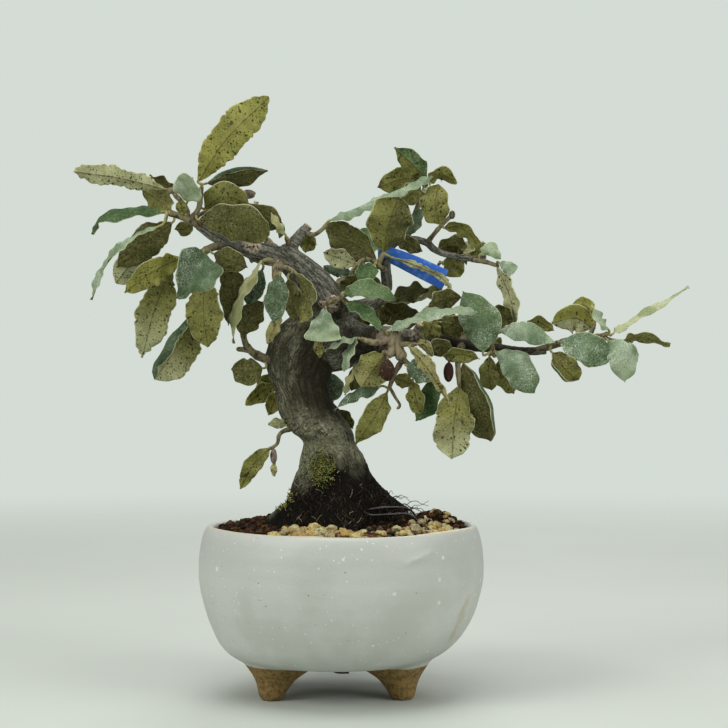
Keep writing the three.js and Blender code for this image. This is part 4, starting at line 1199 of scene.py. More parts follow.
@dataclass
class Gravel(Assembly):
    """Pebbles laid along the front and right of the soil, heaped towards the trunk."""

    inner: float = 35.5
    outer: float = 48.6
    top: float = 64.0
    rise: float = 3.2
    start: float = -123.0
    end: float = -18.0
    pitch: float = 3.5
    strays: int = 22
    seed: int = 977
    pale: tuple[Colour, ...] = (
        Colour(172, 158, 100), Colour(168, 160, 116), Colour(150, 124, 66), Colour(140, 132, 96),
    )
    dark: tuple[Colour, ...] = (Colour(88, 50, 30), Colour(58, 37, 24), Colour(44, 30, 20))

    def covers(self, distance: float, turn: float) -> bool:
        """Whether a place on the soil lies under the pebbles, its direction in radians."""
        degrees = (math.degrees(turn) + 180) % 360 - 180
        return self.inner - 0.5 < distance and self.start < degrees < self.end

    def bed(self, distance: float) -> float:
        """The height of the pebbles' bed at a distance from the axis."""
        return self.top + self.rise * (self.outer - distance) / (self.outer - self.inner)

    def build(self, soil: "Soil") -> bpy.types.Object:
        """Makes the pebbles.

        Args:
            soil: What the stray ones lie on.

        Returns:
            The pebbles as one piece.
        """
        draw = random.Random(self.seed)
        body = Body()
        for layer, sink in ((0, 1.5), (1, 0.2)):
            distance = self.outer - 1.6
            while distance > self.inner - 0.5:
                turn = self.start + draw.uniform(0, 4)
                while turn < self.end:
                    spot = distance + draw.uniform(-0.7, 0.7)
                    angle = math.radians(turn)
                    small = draw.random() < 0.42 - 0.3 * math.cos(3.1 * angle + 0.6)
                    size = draw.uniform(0.8, 1.5) if small else draw.uniform(1.4, 3.0)
                    high = self.bed(spot) - sink + draw.uniform(-0.5, 0.7)
                    tone = draw.choice(self.dark if small else self.pale)
                    middle = spot * turned(angle) + (0, 0, high)
                    if layer == 0 or draw.random() < 0.72:
                        add_stone(body, middle, size, tone, draw, 2 if small else 3)
                    turn += math.degrees(self.pitch * draw.uniform(0.8, 1.25) / distance)
                distance -= self.pitch * 0.86
        for _ in range(self.strays):
            spot, angle = draw.uniform(29, 45), math.radians(draw.uniform(-32, 22))
            high = soil.height(spot, angle) + draw.uniform(0.2, 0.8)
            middle = spot * turned(angle) + (0, 0, high)
            add_stone(body, middle, draw.uniform(0.9, 1.9), draw.choice(self.pale), draw, 2)
        return self.workshop.place(body, "gravel_pebbles", "gravel", [PebbleFinish().material()], ["gravel"])


def add_stone(body: Body, middle: np.ndarray, size: float, tone: Colour, draw: random.Random,
              fineness: int) -> None:
    """Adds a small irregular stone or grain.

    Args:
        body: Where it is added.
        middle: Its middle.
        size: Its radius.
        tone: Its colour.
        draw: The source of its random shape.
        fineness: How often its faces are divided.
    """
    work = bmesh.new()
    bmesh.ops.create_icosphere(work, subdivisions=fineness, radius=1.0)
    points = np.array([vertex.co[:] for vertex in work.verts])
    faces = [tuple(vertex.index for vertex in face.verts) for face in work.faces]
    work.free()
    seed = draw.uniform(0, 50)
    lumps = 1 + 0.4 * rough(points, 0.9, seed) - 0.45 * np.abs(rough(points, 0.5, seed + 9))
    stretch = np.array([draw.uniform(0.85, 1.3), draw.uniform(0.75, 1.05), draw.uniform(0.6, 0.95)])
    points = points * lumps[:, None] * stretch
    spin, tilt = draw.uniform(0, TURN), draw.uniform(-0.5, 0.5)
    lean = np.array([[1, 0, 0], [0, math.cos(tilt), -math.sin(tilt)], [0, math.sin(tilt), math.cos(tilt)]])
    turn = np.array([[math.cos(spin), -math.sin(spin), 0], [math.sin(spin), math.cos(spin), 0], [0, 0, 1]])
    body.add(middle + size * points @ (turn @ lean).T, faces, tone.linear())


@dataclass
class Soil(Assembly):
    """The potting soil that fills the pot, crowned round the trunk.

    The wall's rows are radius and height. A heap has its x, y, rise and spread. The trunk's reach is
    its x and its half widths from side to side and in depth.
    """

    radius: float = 48.8
    edge: float = 64.2
    crown: float = 5.6
    sides: int = 120
    rounds: int = 34
    grains: int = 1100
    seed: int = 41
    wall: tuple[tuple[float, float], ...] = ((29.4, 18.7), (43.2, 25.6), (48.2, 36.4), (50, 49), (49.2, 60))
    trunk_reach: tuple[float, float, float] = (-2.5, 23.0, 19.0)
    heaps: tuple[tuple[float, float, float, float], ...] = ((38, 8, 4.2, 70), (29, -11, 2.6, 60))
    tones: tuple[Colour, ...] = (
        Colour(54, 33, 18), Colour(70, 44, 23), Colour(36, 23, 14), Colour(78, 51, 27), Colour(27, 18, 11),
        Colour(84, 62, 34),
    )

    def height(self, distance: float, turn: float) -> float:
        """The soil's height at a distance from the axis, in a direction in radians."""
        x, y = distance * math.cos(turn), distance * math.sin(turn)
        crown = self.crown * (1 - (distance / self.radius) ** 2)
        front = 0.5 - 0.5 * math.sin(turn)
        heaped = sum(rise * math.exp(-((x - at_x) ** 2 + (y - at_y) ** 2) / spread)
                     for at_x, at_y, rise, spread in self.heaps)
        return self.edge + crown * (1 - 0.55 * front) + heaped - 1.2 * front

    def build(self, pot: Pot, gravel: Gravel) -> bpy.types.Object:
        """Makes the soil with its loose grains.

        Args:
            pot: The pot that it fills.
            gravel: The pebbles that lie on it.

        Returns:
            The soil.
        """
        draw = random.Random(self.seed)
        body = Body()
        rings = [pot.ring(radius, height, self.sides) for radius, height in self.wall]
        for step in range(self.rounds):
            distance = self.radius * (1 - step / (self.rounds + 0.5))
            ring = []
            for side in range(self.sides):
                turn = side / self.sides * TURN
                sunk = 1.6 if gravel.covers(distance, turn) else 0.0
                height = self.height(distance, turn) - sunk + draw.uniform(-0.5, 0.4)
                ring.append((distance * math.cos(turn), distance * math.sin(turn), height))
            rings.append(np.array(ring))
        body.loft(np.array(rings), self.tones[2].linear())
        x0, reach_x, reach_y = self.trunk_reach
        placed = 0
        while placed < self.grains:
            distance = (self.radius - 0.6) * math.sqrt(draw.random())
            turn = draw.uniform(-math.pi, math.pi)
            x, y = distance * math.cos(turn), distance * math.sin(turn)
            if gravel.covers(distance, turn) or ((x - x0) / reach_x) ** 2 + (y / reach_y) ** 2 < 1:
                continue
            size = 0.6 + 1.2 * draw.random() ** 1.4
            middle = np.array([x, y, self.height(distance, turn) + draw.uniform(-0.3, 0.5)])
            add_stone(body, middle, size, draw.choice(self.tones), draw, 2)
            placed += 1
        return self.workshop.place(body, "soil_granular", "soil", [SoilFinish().material()], ["soil"])


@dataclass
class Trunk(Assembly):
    """The root flare, the trunk, its limbs and the stubs of its cut ones, grown as one.

    The trunk's rows are x, depth, height, half width, half depth and the flare of its roots. A stem
    has its rows and its radii along them, and a knuckle its place and reach.
    """

    rows: tuple[tuple[float, ...], ...] = (
        (-2.5, 0, 47, 12, 11, 0), (-2.5, 0, 56, 20, 18, 0.05), (-2.5, 0, 64, 26.5, 22.5, 0.1),
        (-1.8, 0, 70, 24.6, 21, 0.12), (-0.9, 0, 75, 21, 18.5, 0.1), (-2, 0, 80, 17.8, 16.5, 0.07),
        (-3.2, 0, 85, 14.6, 14.2, 0.05), (-3.7, 0, 90, 12.9, 12.6, 0.03), (-4.4, 0, 97, 10.6, 10.8, 0),
        (-7.2, 0, 101, 12.2, 11.4, 0), (-9.8, 1, 105, 12.4, 11.6, 0), (-12.9, 1, 110, 11.4, 11, 0),
        (-15, 1, 116, 10.4, 10.6, 0), (-16.5, 2, 122, 11.8, 11.6, 0), (-16.4, 2, 128, 13.4, 12.4, 0),
        (-15, 2, 134, 14.3, 12.6, 0), (-12.4, 2, 140, 14, 12, 0), (-8.6, 2, 146, 12.2, 10.6, 0),
        (-5.6, 2, 151, 9.4, 9, 0), (-4.8, 2, 155, 5.6, 6, 0),
    )
    limbs: Stems = (
        (((-4.8, 2, 149), (-11, 0, 159), (-18.6, -3, 167), (-25, -5, 171)), (8.2, 7.2, 6, 4.4)),
        (((-21, -4, 169), (-32, -7, 171.5), (-40, -9, 174.5), (-48, -11, 177.8), (-55, -13, 182)),
         (4.2, 4, 3.3, 2.9, 2.3)),
        (((-33, -7, 171), (-35.6, -8, 167.6)), (1.3, 0.8)),
        (((-9, 1, 138), (1, 1, 136.6), (10, -2, 136.8), (18.4, -7, 138)), (12, 11, 7, 4.2)),
        (((13, -7.5, 140.6), (28, -5, 138.8), (40, -3, 137), (52, -2, 135), (62, -3, 134), (72, -4, 133),
          (80, -5, 133.4)), (2.8, 2.5, 2.3, 2.1, 1.9, 1.8, 1.6)),
        (((-3, 4, 148), (9, 8, 150.5), (17, 9, 156.5), (17.2, 8, 165), (17.4, 7, 171)),
         (4.4, 3.1, 2.6, 2.1, 1.8)),
        (((17.3, 7, 169.8), (20.5, 8, 175), (27, 8, 176.6), (33, 7, 175.4), (37, 5, 172.2), (44, 4, 170),
          (50, 3, 169.2), (56.5, 2, 170)), (1.8, 1.7, 1.6, 1.5, 1.4, 1.3, 1.25, 1.2)),
    )
    stubs: Stems = (
        (((-22, -4, 169.5), (-18, -4, 176), (-12.8, -3, 182)), (3, 2.3, 2.1)),
        (((28.5, -5, 139), (31, -8.5, 144)), (1.6, 1.5)),
    )
    buds: Stems = (
        (((-4, 0, 151.5), (-3.2, -9.8, 152)), (3, 2.5)),
        (((-8, 0, 150), (-7.6, -10.5, 151.6)), (2.2, 1.3)),
        (((-22, -4, 167), (-25.6, -9.8, 165.6)), (2.8, 1.9)),
        (((-33.5, -7.5, 172), (-35, -11, 175)), (2.6, 1.9)),
    )
    knuckles: tuple[tuple[Row, float], ...] = (((18.4, -8, 138), 7.5), ((29, -7, 139), 3.6))
    sides: int = 56
    voxel: float = 0.54
    softening: int = 3

    def build(self) -> bpy.types.Object:
        """Makes the trunk and returns it."""
        shape = Body()
        plain = Tone.TWIG.linear()
        shape.loft(np.array([self.ring(row) for row in Curve(self.rows).sampled(120)]), plain)
        for at, radii in self.limbs + self.stubs + self.buds:
            curve = EYE.path(at)
            steps = 7 * curve.spans
            along = Curve.through(radii, steps)
            knobs = 1 + 0.05 * np.sin(np.arange(steps + 1) / 7 * 2.4)
            shape.tube(curve, along * knobs, 22, plain)
        points, normals, faces = self.workshop.blended(shape, self.voxel, self.softening)
        places, old = self.along_limbs(points)
        cut, knobby = self.sawn(points), self.knobby(points)
        points = points + normals * (self.bark(points, places, old, knobby) * (1 - cut))[:, None]
        # the tone's blue carries the painted shade
        tones = np.stack([knobby, old, self.shaded(points, old), cut], axis=1)
        body = Body()
        body.add(points, faces, tones, places=places)
        finish = BarkFinish().material(self.workshop.axis)
        return self.workshop.place(body, "trunk_bark", "bark", [finish], ["trunk"])

    def along_limbs(self, points: np.ndarray) -> tuple[np.ndarray, np.ndarray]:
        """Where each point lies beside and along the nearest limb.

        Args:
            points: Points of the trunk's skin.

        Returns:
            The two offsets across the limb and the length along it, for each point, and how far the
            point belongs to the trunk rather than to a limb, from 0 to 1.
        """
        grown = [([row[:3] for row in self.rows], [row[3] for row in self.rows]), *self.limbs]
        nearest = np.full(len(points), np.inf)
        nearest_limb = nearest.copy()
        to_trunk = np.zeros(len(points))
        places = np.zeros((len(points), 3))
        for number, (at, radii) in enumerate(grown):
            curve = EYE.path(at)
            steps = 9 * curve.spans
            middles = curve.sampled(steps)
            reach = Curve.through(radii, steps)
            lengths = np.concatenate([[0], np.cumsum(np.linalg.norm(np.diff(middles, axis=0), axis=1))])
            away = np.linalg.norm(points[:, None, :] - middles[None], axis=2)
            step = np.argmin(away, axis=1)
            off = away[np.arange(len(points)), step] - reach[step]
            headings = np.array([curve.heading(share / steps) for share in range(steps + 1)])[step]
            offset = points - middles[step]
            ahead = np.sum(offset * headings, axis=1)
            across = np.cross(headings, np.array([0.2, 0.96, 0.1]))
            through = np.cross(headings, unit(across))
            place = np.stack([np.sum(offset * unit(across), axis=1), np.sum(offset * through, axis=1),
                              lengths[step] + ahead], axis=1)
            closer = off < nearest
            places[closer] = place[closer] + 100.0 * number
            nearest = np.minimum(nearest, off)
            if number == 0:
                to_trunk = off
            else:
                nearest_limb = np.minimum(nearest_limb, off)
        return places, smoothly(nearest_limb - to_trunk, -2.5, 2.5)

    def shaded(self, points: np.ndarray, old: np.ndarray) -> np.ndarray:
        """Where shade is painted on the bark: within the crown, and over the upper trunk, most along its
        right.

        Args:
            points: Points of the trunk's skin.
            old: How far each belongs to the trunk.

        Returns:
            How strong the painted shade is at each point, from 0 to 1.
        """
        x, height = points[:, 0], points[:, 2]
        middles, _, heights, widths = list(zip(*self.rows))[:4]
        middle = np.interp(height, heights, middles)
        width = np.interp(height, heights, widths)
        # painted shade: strong along the right of the upper trunk, lighter over the rest of it
        right = smoothly((x - middle) / width, -0.6, 0.35)
        right = right * smoothly(height, 98, 118) * smoothly(height, 160, 146)
        high = smoothly(height, 99, 116) * smoothly(height, 164, 150)
        # painted shade within the crown, stronger below the lit top of the right limb
        inner = smoothly(x, -6, 4) * smoothly(height, 124, 132)
        inner = inner * smoothly(height, 154, 149) * smoothly(x, 92, 60)
        under = 0.2 + 0.5 * smoothly(height, 145, 138)
        return np.maximum(np.maximum(right, 0.42 * high) * old, under * inner)

    def knobby(self, points: np.ndarray) -> np.ndarray:
        """Which points lie on a scaly bud or a knuckle, from 0 to 1.

        Args:
            points: Points of the trunk's skin.

        Returns:
            One value for each point.
        """
        spots = [(at[-1], 1.6 * radii[-1] + 1.4, 1.0) for at, radii in self.buds]
        spots += [(row, reach, 0.5) for row, reach in self.knuckles]
        scaly = np.zeros(len(points))
        for row, reach, share in spots:
            away = np.linalg.norm(points - EYE.seen(row), axis=1)
            scaly = np.maximum(scaly, share * smoothly(away, reach, 0.6 * reach))
        return scaly

    def ring(self, row: Sequence[float]) -> np.ndarray:
        """One round of the trunk.

        Args:
            row: Its x, depth, height, half width, half depth and the flare of its roots.

        Returns:
            The points.
        """
        height, half_width, half_depth, flare = row[2:]
        turns = around(self.sides)
        roots = 1 + flare * np.cos(5 * turns + 0.7)
        bark = 1 + 0.02 * np.sin(4 * turns + height * 0.3) + 0.015 * np.sin(7 * turns - height * 0.5)
        reach = roots * bark
        aside, deep = half_width * reach * np.cos(turns), half_depth * reach * np.sin(turns)
        return EYE.seen(row) + np.stack([aside, deep, 0 * turns], axis=1)

    def sawn(self, points: np.ndarray) -> np.ndarray:
        """Which points lie on the cut face of a stub, from 0 to 1.

        Args:
            points: Points of the trunk's skin.

        Returns:
            One value for each point.
        """
        cut = np.zeros(len(points))
        for at, radii in self.stubs:
            end = EYE.seen(at[-1])
            heading = unit(end - EYE.seen(at[-2]))
            ahead = (points - end) @ heading
            aside = np.linalg.norm(points - end - np.outer(ahead, heading), axis=1)
            cut = np.maximum(cut, smoothly(ahead, -0.75, -0.35) * (aside < radii[-1] * 1.1))
        return cut

    def bark(self, points: np.ndarray, places: np.ndarray, old: np.ndarray, knobby: np.ndarray) -> np.ndarray:
        """The relief of the bark: fine lines along limbs, wrinkles and folds on the trunk, scales.

        Args:
            points: Points of the trunk's skin.
            places: Their places beside and along the nearest limb.
            old: How far each belongs to the trunk.
            knobby: How scaly the bark is at each.

        Returns:
            How far each point moves outward.
        """
        lines = -np.abs(rough(places * np.array([1.0, 1.0, 0.16]), 2.4, 5.0)) * (0.3 + 0.25 * old)
        wrinkles = rough(places * np.array([0.35, 0.35, 1.0]), 2.2, 7.0) * 0.22 * old
        folds = rough(points, 9.0, 2.0) * 0.8 * old + 0.2 * rough(points, 3.4, 6.0)
        scales = np.abs(rough(points, 1.5, 3.0)) * 0.8 * knobby
        return lines + wrinkles + folds + scales + 0.1 * rough(points, 1.1, 9.0)


@dataclass
class Undergrowth(Assembly):
    """Moss on the trunk, hair roots over the soil and fibres on the damp bark.

    A tuft has its x and height, its half width and half height, and how many strands it has.
    """

    tufts: tuple[tuple[tuple[float, float], tuple[float, float], int], ...] = (
        ((-7.5, 87.2), (5.8, 6.6), 820), ((-22.6, 73.4), (3.4, 3.4), 80), ((-20, 77), (2.6, 3), 40),
    )
    hairs: int = 26
    hair_x: tuple[float, float] = (14, 26)
    hair_heights: tuple[float, float] = (66.5, 73)
    soil_level: float = 67.4
    fibres: int = 520
    fibre_x: tuple[float, float] = (-22, 30)
    fibre_heights: tuple[float, float] = (62, 84)
    seed: int = 5
    moss_tones: tuple[Colour, ...] = (
        Colour(100, 112, 34), Colour(140, 138, 62), Colour(66, 80, 26), Colour(152, 146, 84),
        Colour(40, 46, 20),
    )
    root_tones: tuple[Colour, ...] = (
        Colour(24, 17, 12), Colour(34, 24, 16), Colour(16, 12, 9), Colour(52, 36, 22),
    )
    pale_root: Colour = Colour(150, 138, 110)

    def build(self, trunk: bpy.types.Object) -> None:
        """Makes the moss and the roots on the finished trunk, which they grow on."""
        skin = Skin(trunk, self.workshop.axis)
        draw = random.Random(self.seed)
        self.moss(skin, draw)
        self.hair_roots(skin, draw)

    def moss(self, skin: "Skin", draw: random.Random) -> None:
        """Plants short strands in a patch at the front of the trunk, and two small tufts beside it.

        Args:
            skin: The trunk's surface.
            draw: The source of random numbers.
        """
        body = Body()
        for (x, z), (half_width, half_height), strands in self.tufts:
            for _ in range(strands):
                aside, up = draw.gauss(0, 0.42) * half_width, draw.gauss(0, 0.45) * half_height
                hit = skin.from_front(x + aside, z + up)
                if hit is None:
                    continue
                foot, normal = hit
                lean = np.array([draw.uniform(-1.3, 1.3), draw.uniform(-0.4, 0.2), draw.uniform(-1.1, 1.1)])
                tip = foot + unit(normal + lean) * draw.uniform(0.6, 2.0)
                curve = Curve([foot - 0.3 * normal, (foot + tip) / 2 + 0.15 * normal, tip])
                body.tube(curve, np.array([0.14, 0.17, 0.14, 0.05]), 4, draw.choice(self.moss_tones).linear())
        self.workshop.place(body, "moss_patch", "bark", [MossFinish().material()])

    def hair_roots(self, skin: "Skin", draw: random.Random) -> None:
        """Lays fine curling roots from the right of the flare over the soil, and fibres on the bark.

        Args:
            skin: The trunk's surface.
            draw: The source of random numbers.
        """
        body = Body()
        for _ in range(self.hairs):
            hit = skin.from_front(draw.uniform(*self.hair_x), draw.uniform(*self.hair_heights))
            if hit is None:
                continue
            foot, normal = hit
            away = unit(np.array([1.0, draw.uniform(-0.6, 0.2), 0.0])) * draw.uniform(0.8, 2.6)
            points = [foot - 0.2 * normal, foot + 0.6 * normal]
            rise = draw.uniform(-0.6, 2.6)
            for _ in range(5):
                wander = np.array([draw.uniform(-1.7, 1.5), draw.uniform(-1.2, 1.2), draw.uniform(-1.7, 1.7)])
                points.append(points[-1] + away + wander + np.array([0, 0, rise]))
                points[-1][2] = max(points[-1][2], self.soil_level)
                rise -= draw.uniform(0.2, 1.4)
            body.tube(Curve(points), np.linspace(0.18, 0.08, 30), 5, draw.choice(self.root_tones).linear())
        for number in range(self.fibres):
            x, z = draw.uniform(*self.fibre_x), draw.uniform(*self.fibre_heights)
            lean, drop = draw.uniform(-2.4, 2.4), draw.uniform(1.0, 3.4)
            hits = [skin.from_front(x + lean * part + draw.uniform(-0.4, 0.4), z - drop * part)
                    for part in (0.0, 0.33, 0.66, 1.0)]
            if any(hit is None for hit in hits):
                continue
            lift = draw.uniform(0.1, 0.7)
            curve = Curve([point + lift * (1 - abs(2 * place - 3) / 3.2) * normal
                           for place, (point, normal) in enumerate(hits)])
            tone = self.pale_root if number % 22 == 0 else draw.choice(self.root_tones)
            body.tube(curve, np.full(8, 0.09 if tone is self.pale_root else 0.13), 4, tone.linear())
        self.workshop.place(body, "hair_roots", "bark", [WoodyFinish().material()])


class Skin:
    """The surface of a placed piece, for finding points on it."""

    def __init__(self, piece: bpy.types.Object, axis: Sequence[float]) -> None:
        """Keeps the piece's faces for the search.

        Args:
            piece: The placed piece.
            axis: The pot's axis, x and y in millimetres.
        """
        shift = Vector((axis[0], axis[1], 0))
        points = [vertex.co / METRES - shift for vertex in piece.data.vertices]
        self.tree = BVHTree.FromPolygons(points, [tuple(face.vertices) for face in piece.data.polygons])

    def from_front(self, x: float, height: float) -> tuple[np.ndarray, np.ndarray] | None:
        """The first point that the eye meets at an apparent x and height.

        Args:
            x: Where it appears from side to side.
            height: Where it appears from low to high.

        Returns:
            The point and the surface's normal there, or nothing where the eye sees past it.
        """
        eye = Vector((EYE.x, -EYE.distance, EYE.height))
        aim = Vector(EYE.seen((x, 0, height))) - eye
        point, normal, _, _ = self.tree.ray_cast(eye, aim.normalized())
        if point is None:
            return None
        return np.array(point), np.array(normal)


@dataclass
class AnchorWire(Assembly):
    """Black wire over the roots, down through the soil and the drain hole, bent under the pot."""

    radius: float = 0.42
    steps: int = 420
    route: tuple[Row, ...] = (
        (-3.6, 1, 8.2), (2.6, 0.9, 8.4), (5, 0, 12), (5, 0, 22), (19, -3, 36), (30, -6, 50), (30, -8, 65),
        (26.6, -9.4, 71.8), (19, -16.6, 73.4), (12.4, -20.4, 73.2), (9, -17.4, 72), (12, -21.2, 70.8),
        (18.6, -19.6, 71), (26.2, -15, 70.4), (30.2, -13.4, 65), (29.4, -14.4, 50), (14, -12, 36),
        (-4.4, -1.4, 24), (-5, 0, 19), (-5, 0, 12), (-2.6, -0.9, 8.2), (3, -1, 7.8),
    )

    def build(self) -> bpy.types.Object:
        """Makes the wire and returns it."""
        body = Body()
        radii = np.full(self.steps, self.radius)
        radii[0] = radii[-1] = 0.8 * self.radius
        body.tube(Curve(self.route), radii, 12, Tone.DRY.linear())
        finish = WireFinish().material()
        return self.workshop.place(body, "anchor_wire_black", "black_wire", [finish], ["anchor_wire"])


@dataclass
class PlantTag(Assembly):
    """A bare strap of blue plastic, doubled round the rising branch."""

    width: float = 3.7
    thickness: float = 0.7
    corner: float = 0.28
    steps: int = 120
    route: tuple[Row, ...] = (
        (40, 9, 158.6), (30, 10, 163.6), (21.6, 11.2, 168), (17, 11.4, 170), (14.55, 7.7, 170.6),
        (16.4, 4.1, 171.2), (20, 2.6, 171.4), (30, 2, 167.8), (41, 1, 162.8),
    )
    finish: PlasticFinish = PlasticFinish("tag_plastic", Colour(36, 92, 178), Colour(92, 146, 206), 0.4)

    def build(self) -> bpy.types.Object:
        """Makes the strap, with rounded edges, and returns it."""
        curve = EYE.path(self.route)
        half_width, half_depth = self.width / 2, self.thickness / 2
        quarter = [math.radians(degrees) for degrees in (0, 30, 60, 90)]
        section = []
        for quadrant, (high, deep) in enumerate(((1, 1), (-1, 1), (-1, -1), (1, -1))):
            for angle in quarter:
                turn = angle + quadrant * math.pi / 2
                section.append((high * (half_width - self.corner) + self.corner * math.cos(turn),
                                deep * (half_depth - self.corner) + self.corner * math.sin(turn)))
        rings = []
        for share in np.linspace(0, 1, self.steps + 1):
            heading = curve.heading(share)
            upright = unit(np.array([0, 0, 1.0]) - heading * heading[2])
            through = np.cross(heading, upright)
            rings.append([curve.at(share) + high * upright + deep * through for high, deep in section])
        body = Body()
        body.loft(np.array(rings), Tone.DRY.linear())
        finish = self.finish.material()
        return self.workshop.place(body, "plant_tag_strap", "tag_plastic", [finish], ["plant_tag"])


@dataclass
class Spray:
    """A leafy spray: its twigs, leaves, fruits and buds."""

    name: str
    twigs: tuple[Twig, ...]
    leaves: tuple[Leaf, ...]
    fruits: tuple[Fruit, ...] = ()
    step: float = 0.55
    steps: tuple[int, int] = (20, 76)
    across: int = 14
    blade: float = 0.34
    edge_thinning: float = 0.45
    rib: float = 0.3
    rib_reach: float = 0.42
    tip_round: float = 0.07
    least_half: float = 0.3
    twist: float = 9.0
    stalk: float = 0.55
    scurfy_face: float = 1.0
    bare_face: float = 0.7

    LEAF_SLOT = 0
    WOODY_SLOT = 1
    STALK_TAPER = (1.25, 1.05, 0.9, 0.85, 0.85, 0.85, 0.8, 0.5)

    def build(self, workshop: Workshop, materials: Sequence[bpy.types.Material]) -> bpy.types.Object:
        """Makes the spray.

        Args:
            workshop: Where the piece is placed.
            materials: The leaf material and the woody one.

        Returns:
            The spray.
        """
        draw = random.Random(self.name)
        body = Body()
        for twig in self.twigs:
            self.add_twig(body, twig, draw)
        for serial, leaf in enumerate(self.leaves):
            self.add_leaf(body, leaf, serial, draw)
        for fruit in self.fruits:
            self.add_fruit(body, fruit, draw)
        return workshop.place(body, f"{self.name}_leaves", "leaf", materials, [f"spray_{self.name}"])

    def root_of(self, point: np.ndarray) -> np.ndarray:
        """The nearest place on any twig's middle line to a point."""
        places = np.vstack([EYE.path(twig.at).sampled(24) for twig in self.twigs])
        return places[np.argmin(np.linalg.norm(places - point, axis=1))]

    def add_twig(self, body: Body, twig: Twig, draw: random.Random) -> None:
        """Adds a twig that swells at its nodes and greens towards its end.

        Args:
            body: Where it is added.
            twig: The twig.
            draw: The source of random numbers.
        """
        curve = EYE.path(twig.at)
        steps = max(8, int(curve.length() / 0.9))
        shares = np.linspace(0, 1, steps + 1)
        radii = twig.start + (twig.end - twig.start) * shares
        for place in np.arange(draw.uniform(0.1, 0.3), 1, 6.5 / max(curve.length(), 6.5)):
            radii = radii * (1 + 0.2 * np.exp(-((shares - place) * curve.length() / 0.9) ** 2))
        radii[-1] *= 0.5
        old, young = np.array(twig.tone.linear()), np.array(Tone.BEIGE.linear())
        tone = old + np.outer(shares * 0.5, young - old)
        body.tube(curve, radii, 10, tone, self.WOODY_SLOT)

    def add_leaf(self, body: Body, leaf: Leaf, serial: int, draw: random.Random) -> None:
        """Adds a leaf with its stalk.

        Args:
            body: Where it is added.
            leaf: The leaf.
            serial: Its number on the spray.
            draw: The source of random numbers.
        """
        curve = EYE.path(leaf.at)
        foot, heading = curve.at(0), curve.heading(0)
        root = self.root_of(foot)
        reach = np.linalg.norm(foot - root)
        stalk = Curve([root, foot - heading * reach * 0.4, foot + heading * 0.6])
        radii = np.array(self.STALK_TAPER) * self.stalk
        body.tube(stalk, radii, 8, Tone.BEIGE.linear(), self.WOODY_SLOT)
        rings, places = self.blade_rings(leaf, curve, serial, draw)
        body.loft(rings, self.blade_tones(leaf, places), self.LEAF_SLOT, places)

    @property
    def places_across(self) -> np.ndarray:
        """Places across a blade, from -1 at one edge to 1 at the other."""
        return np.linspace(-1, 1, self.across + 1)

    def blade_rings(self, leaf: Leaf, curve: Curve, serial: int,
                    draw: random.Random) -> tuple[np.ndarray, np.ndarray]:
        """The rounds of a blade, over the upper face and back under it.

        Args:
            leaf: The leaf.
            curve: Its midrib.
            serial: Its number on the spray, which shifts its waves.
            draw: The source of random numbers.

        Returns:
            The rounds, and each point's distance along the rib, across it, and share of the way to
            the edge.
        """
        length = curve.length()
        even = np.linspace(0, 1, int(np.clip(length / self.step, *self.steps)) + 1)
        shares = 0.5 * even + 0.25 * (1 - np.cos(math.pi * even))
        middles, side, normal = self.lie(leaf, curve, shares, draw)
        rounded = np.sqrt(np.clip((1 - shares) / self.tip_round, 0, 1))
        half = np.maximum(leaf.width / 2 * self.width_at(leaf.form, shares) * rounded, self.least_half)
        away = np.abs(self.places_across)
        across, lift, tilt = self.halves(leaf, shares, length, half, serial, draw)
        local = normal[:, None, :] * np.cos(tilt)[:, None] - side[:, None, :] * np.sin(tilt)[:, None]
        thickness = (self.blade / 2 * (1 - self.edge_thinning * away))[:, None]
        ridge = self.rib * np.exp(-(np.abs(across) / self.rib_reach) ** 2)
        ridge = ridge * np.sqrt(1 - 0.8 * shares)[:, None]
        spine = middles[:, None, :] + side[:, None, :] * across[..., None]
        spine = spine + normal[:, None, :] * lift[..., None]
        upper = spine + local * (thickness - 0.25 * ridge[..., None])
        under = spine - local * (thickness + ridge[..., None])
        rings = np.concatenate([upper, under[:, ::-1]], axis=1)
        along = np.broadcast_to((shares * length)[:, None], across.shape)
        share = np.broadcast_to(away, across.shape)
        place = np.stack([along, np.outer(half, self.places_across), share], axis=-1)
        return rings, np.concatenate([place, place[:, ::-1]], axis=1)

    def lie(self, leaf: Leaf, curve: Curve, shares: np.ndarray,
            draw: random.Random) -> tuple[np.ndarray, np.ndarray, np.ndarray]:
        """How a blade lies along its midrib, with a slight twist.

        Args:
            leaf: The leaf.
            curve: Its midrib.
            shares: Shares of the way to its tip.
            draw: The source of random numbers.

        Returns:
            The midrib's point, the way sideways and the way out of the upper face at each share.
        """
        middles = np.array([curve.at(share) for share in shares])
        tangents = np.array([curve.heading(share) for share in shares])
        front = unit(np.array([0, -1.0, 0]) + tangents * tangents[:, 1:2])
        upward = -1 if leaf.at[-1][0] > leaf.at[0][0] else 1
        rise = np.cross(tangents, front) * upward
        twist = draw.uniform(-self.twist, self.twist) * np.sin(math.pi * shares)
        turn = np.radians(leaf.turn + twist)[:, None]
        normal = front * np.cos(turn) + rise * np.sin(turn)
        return middles, unit(np.cross(tangents, normal)), normal

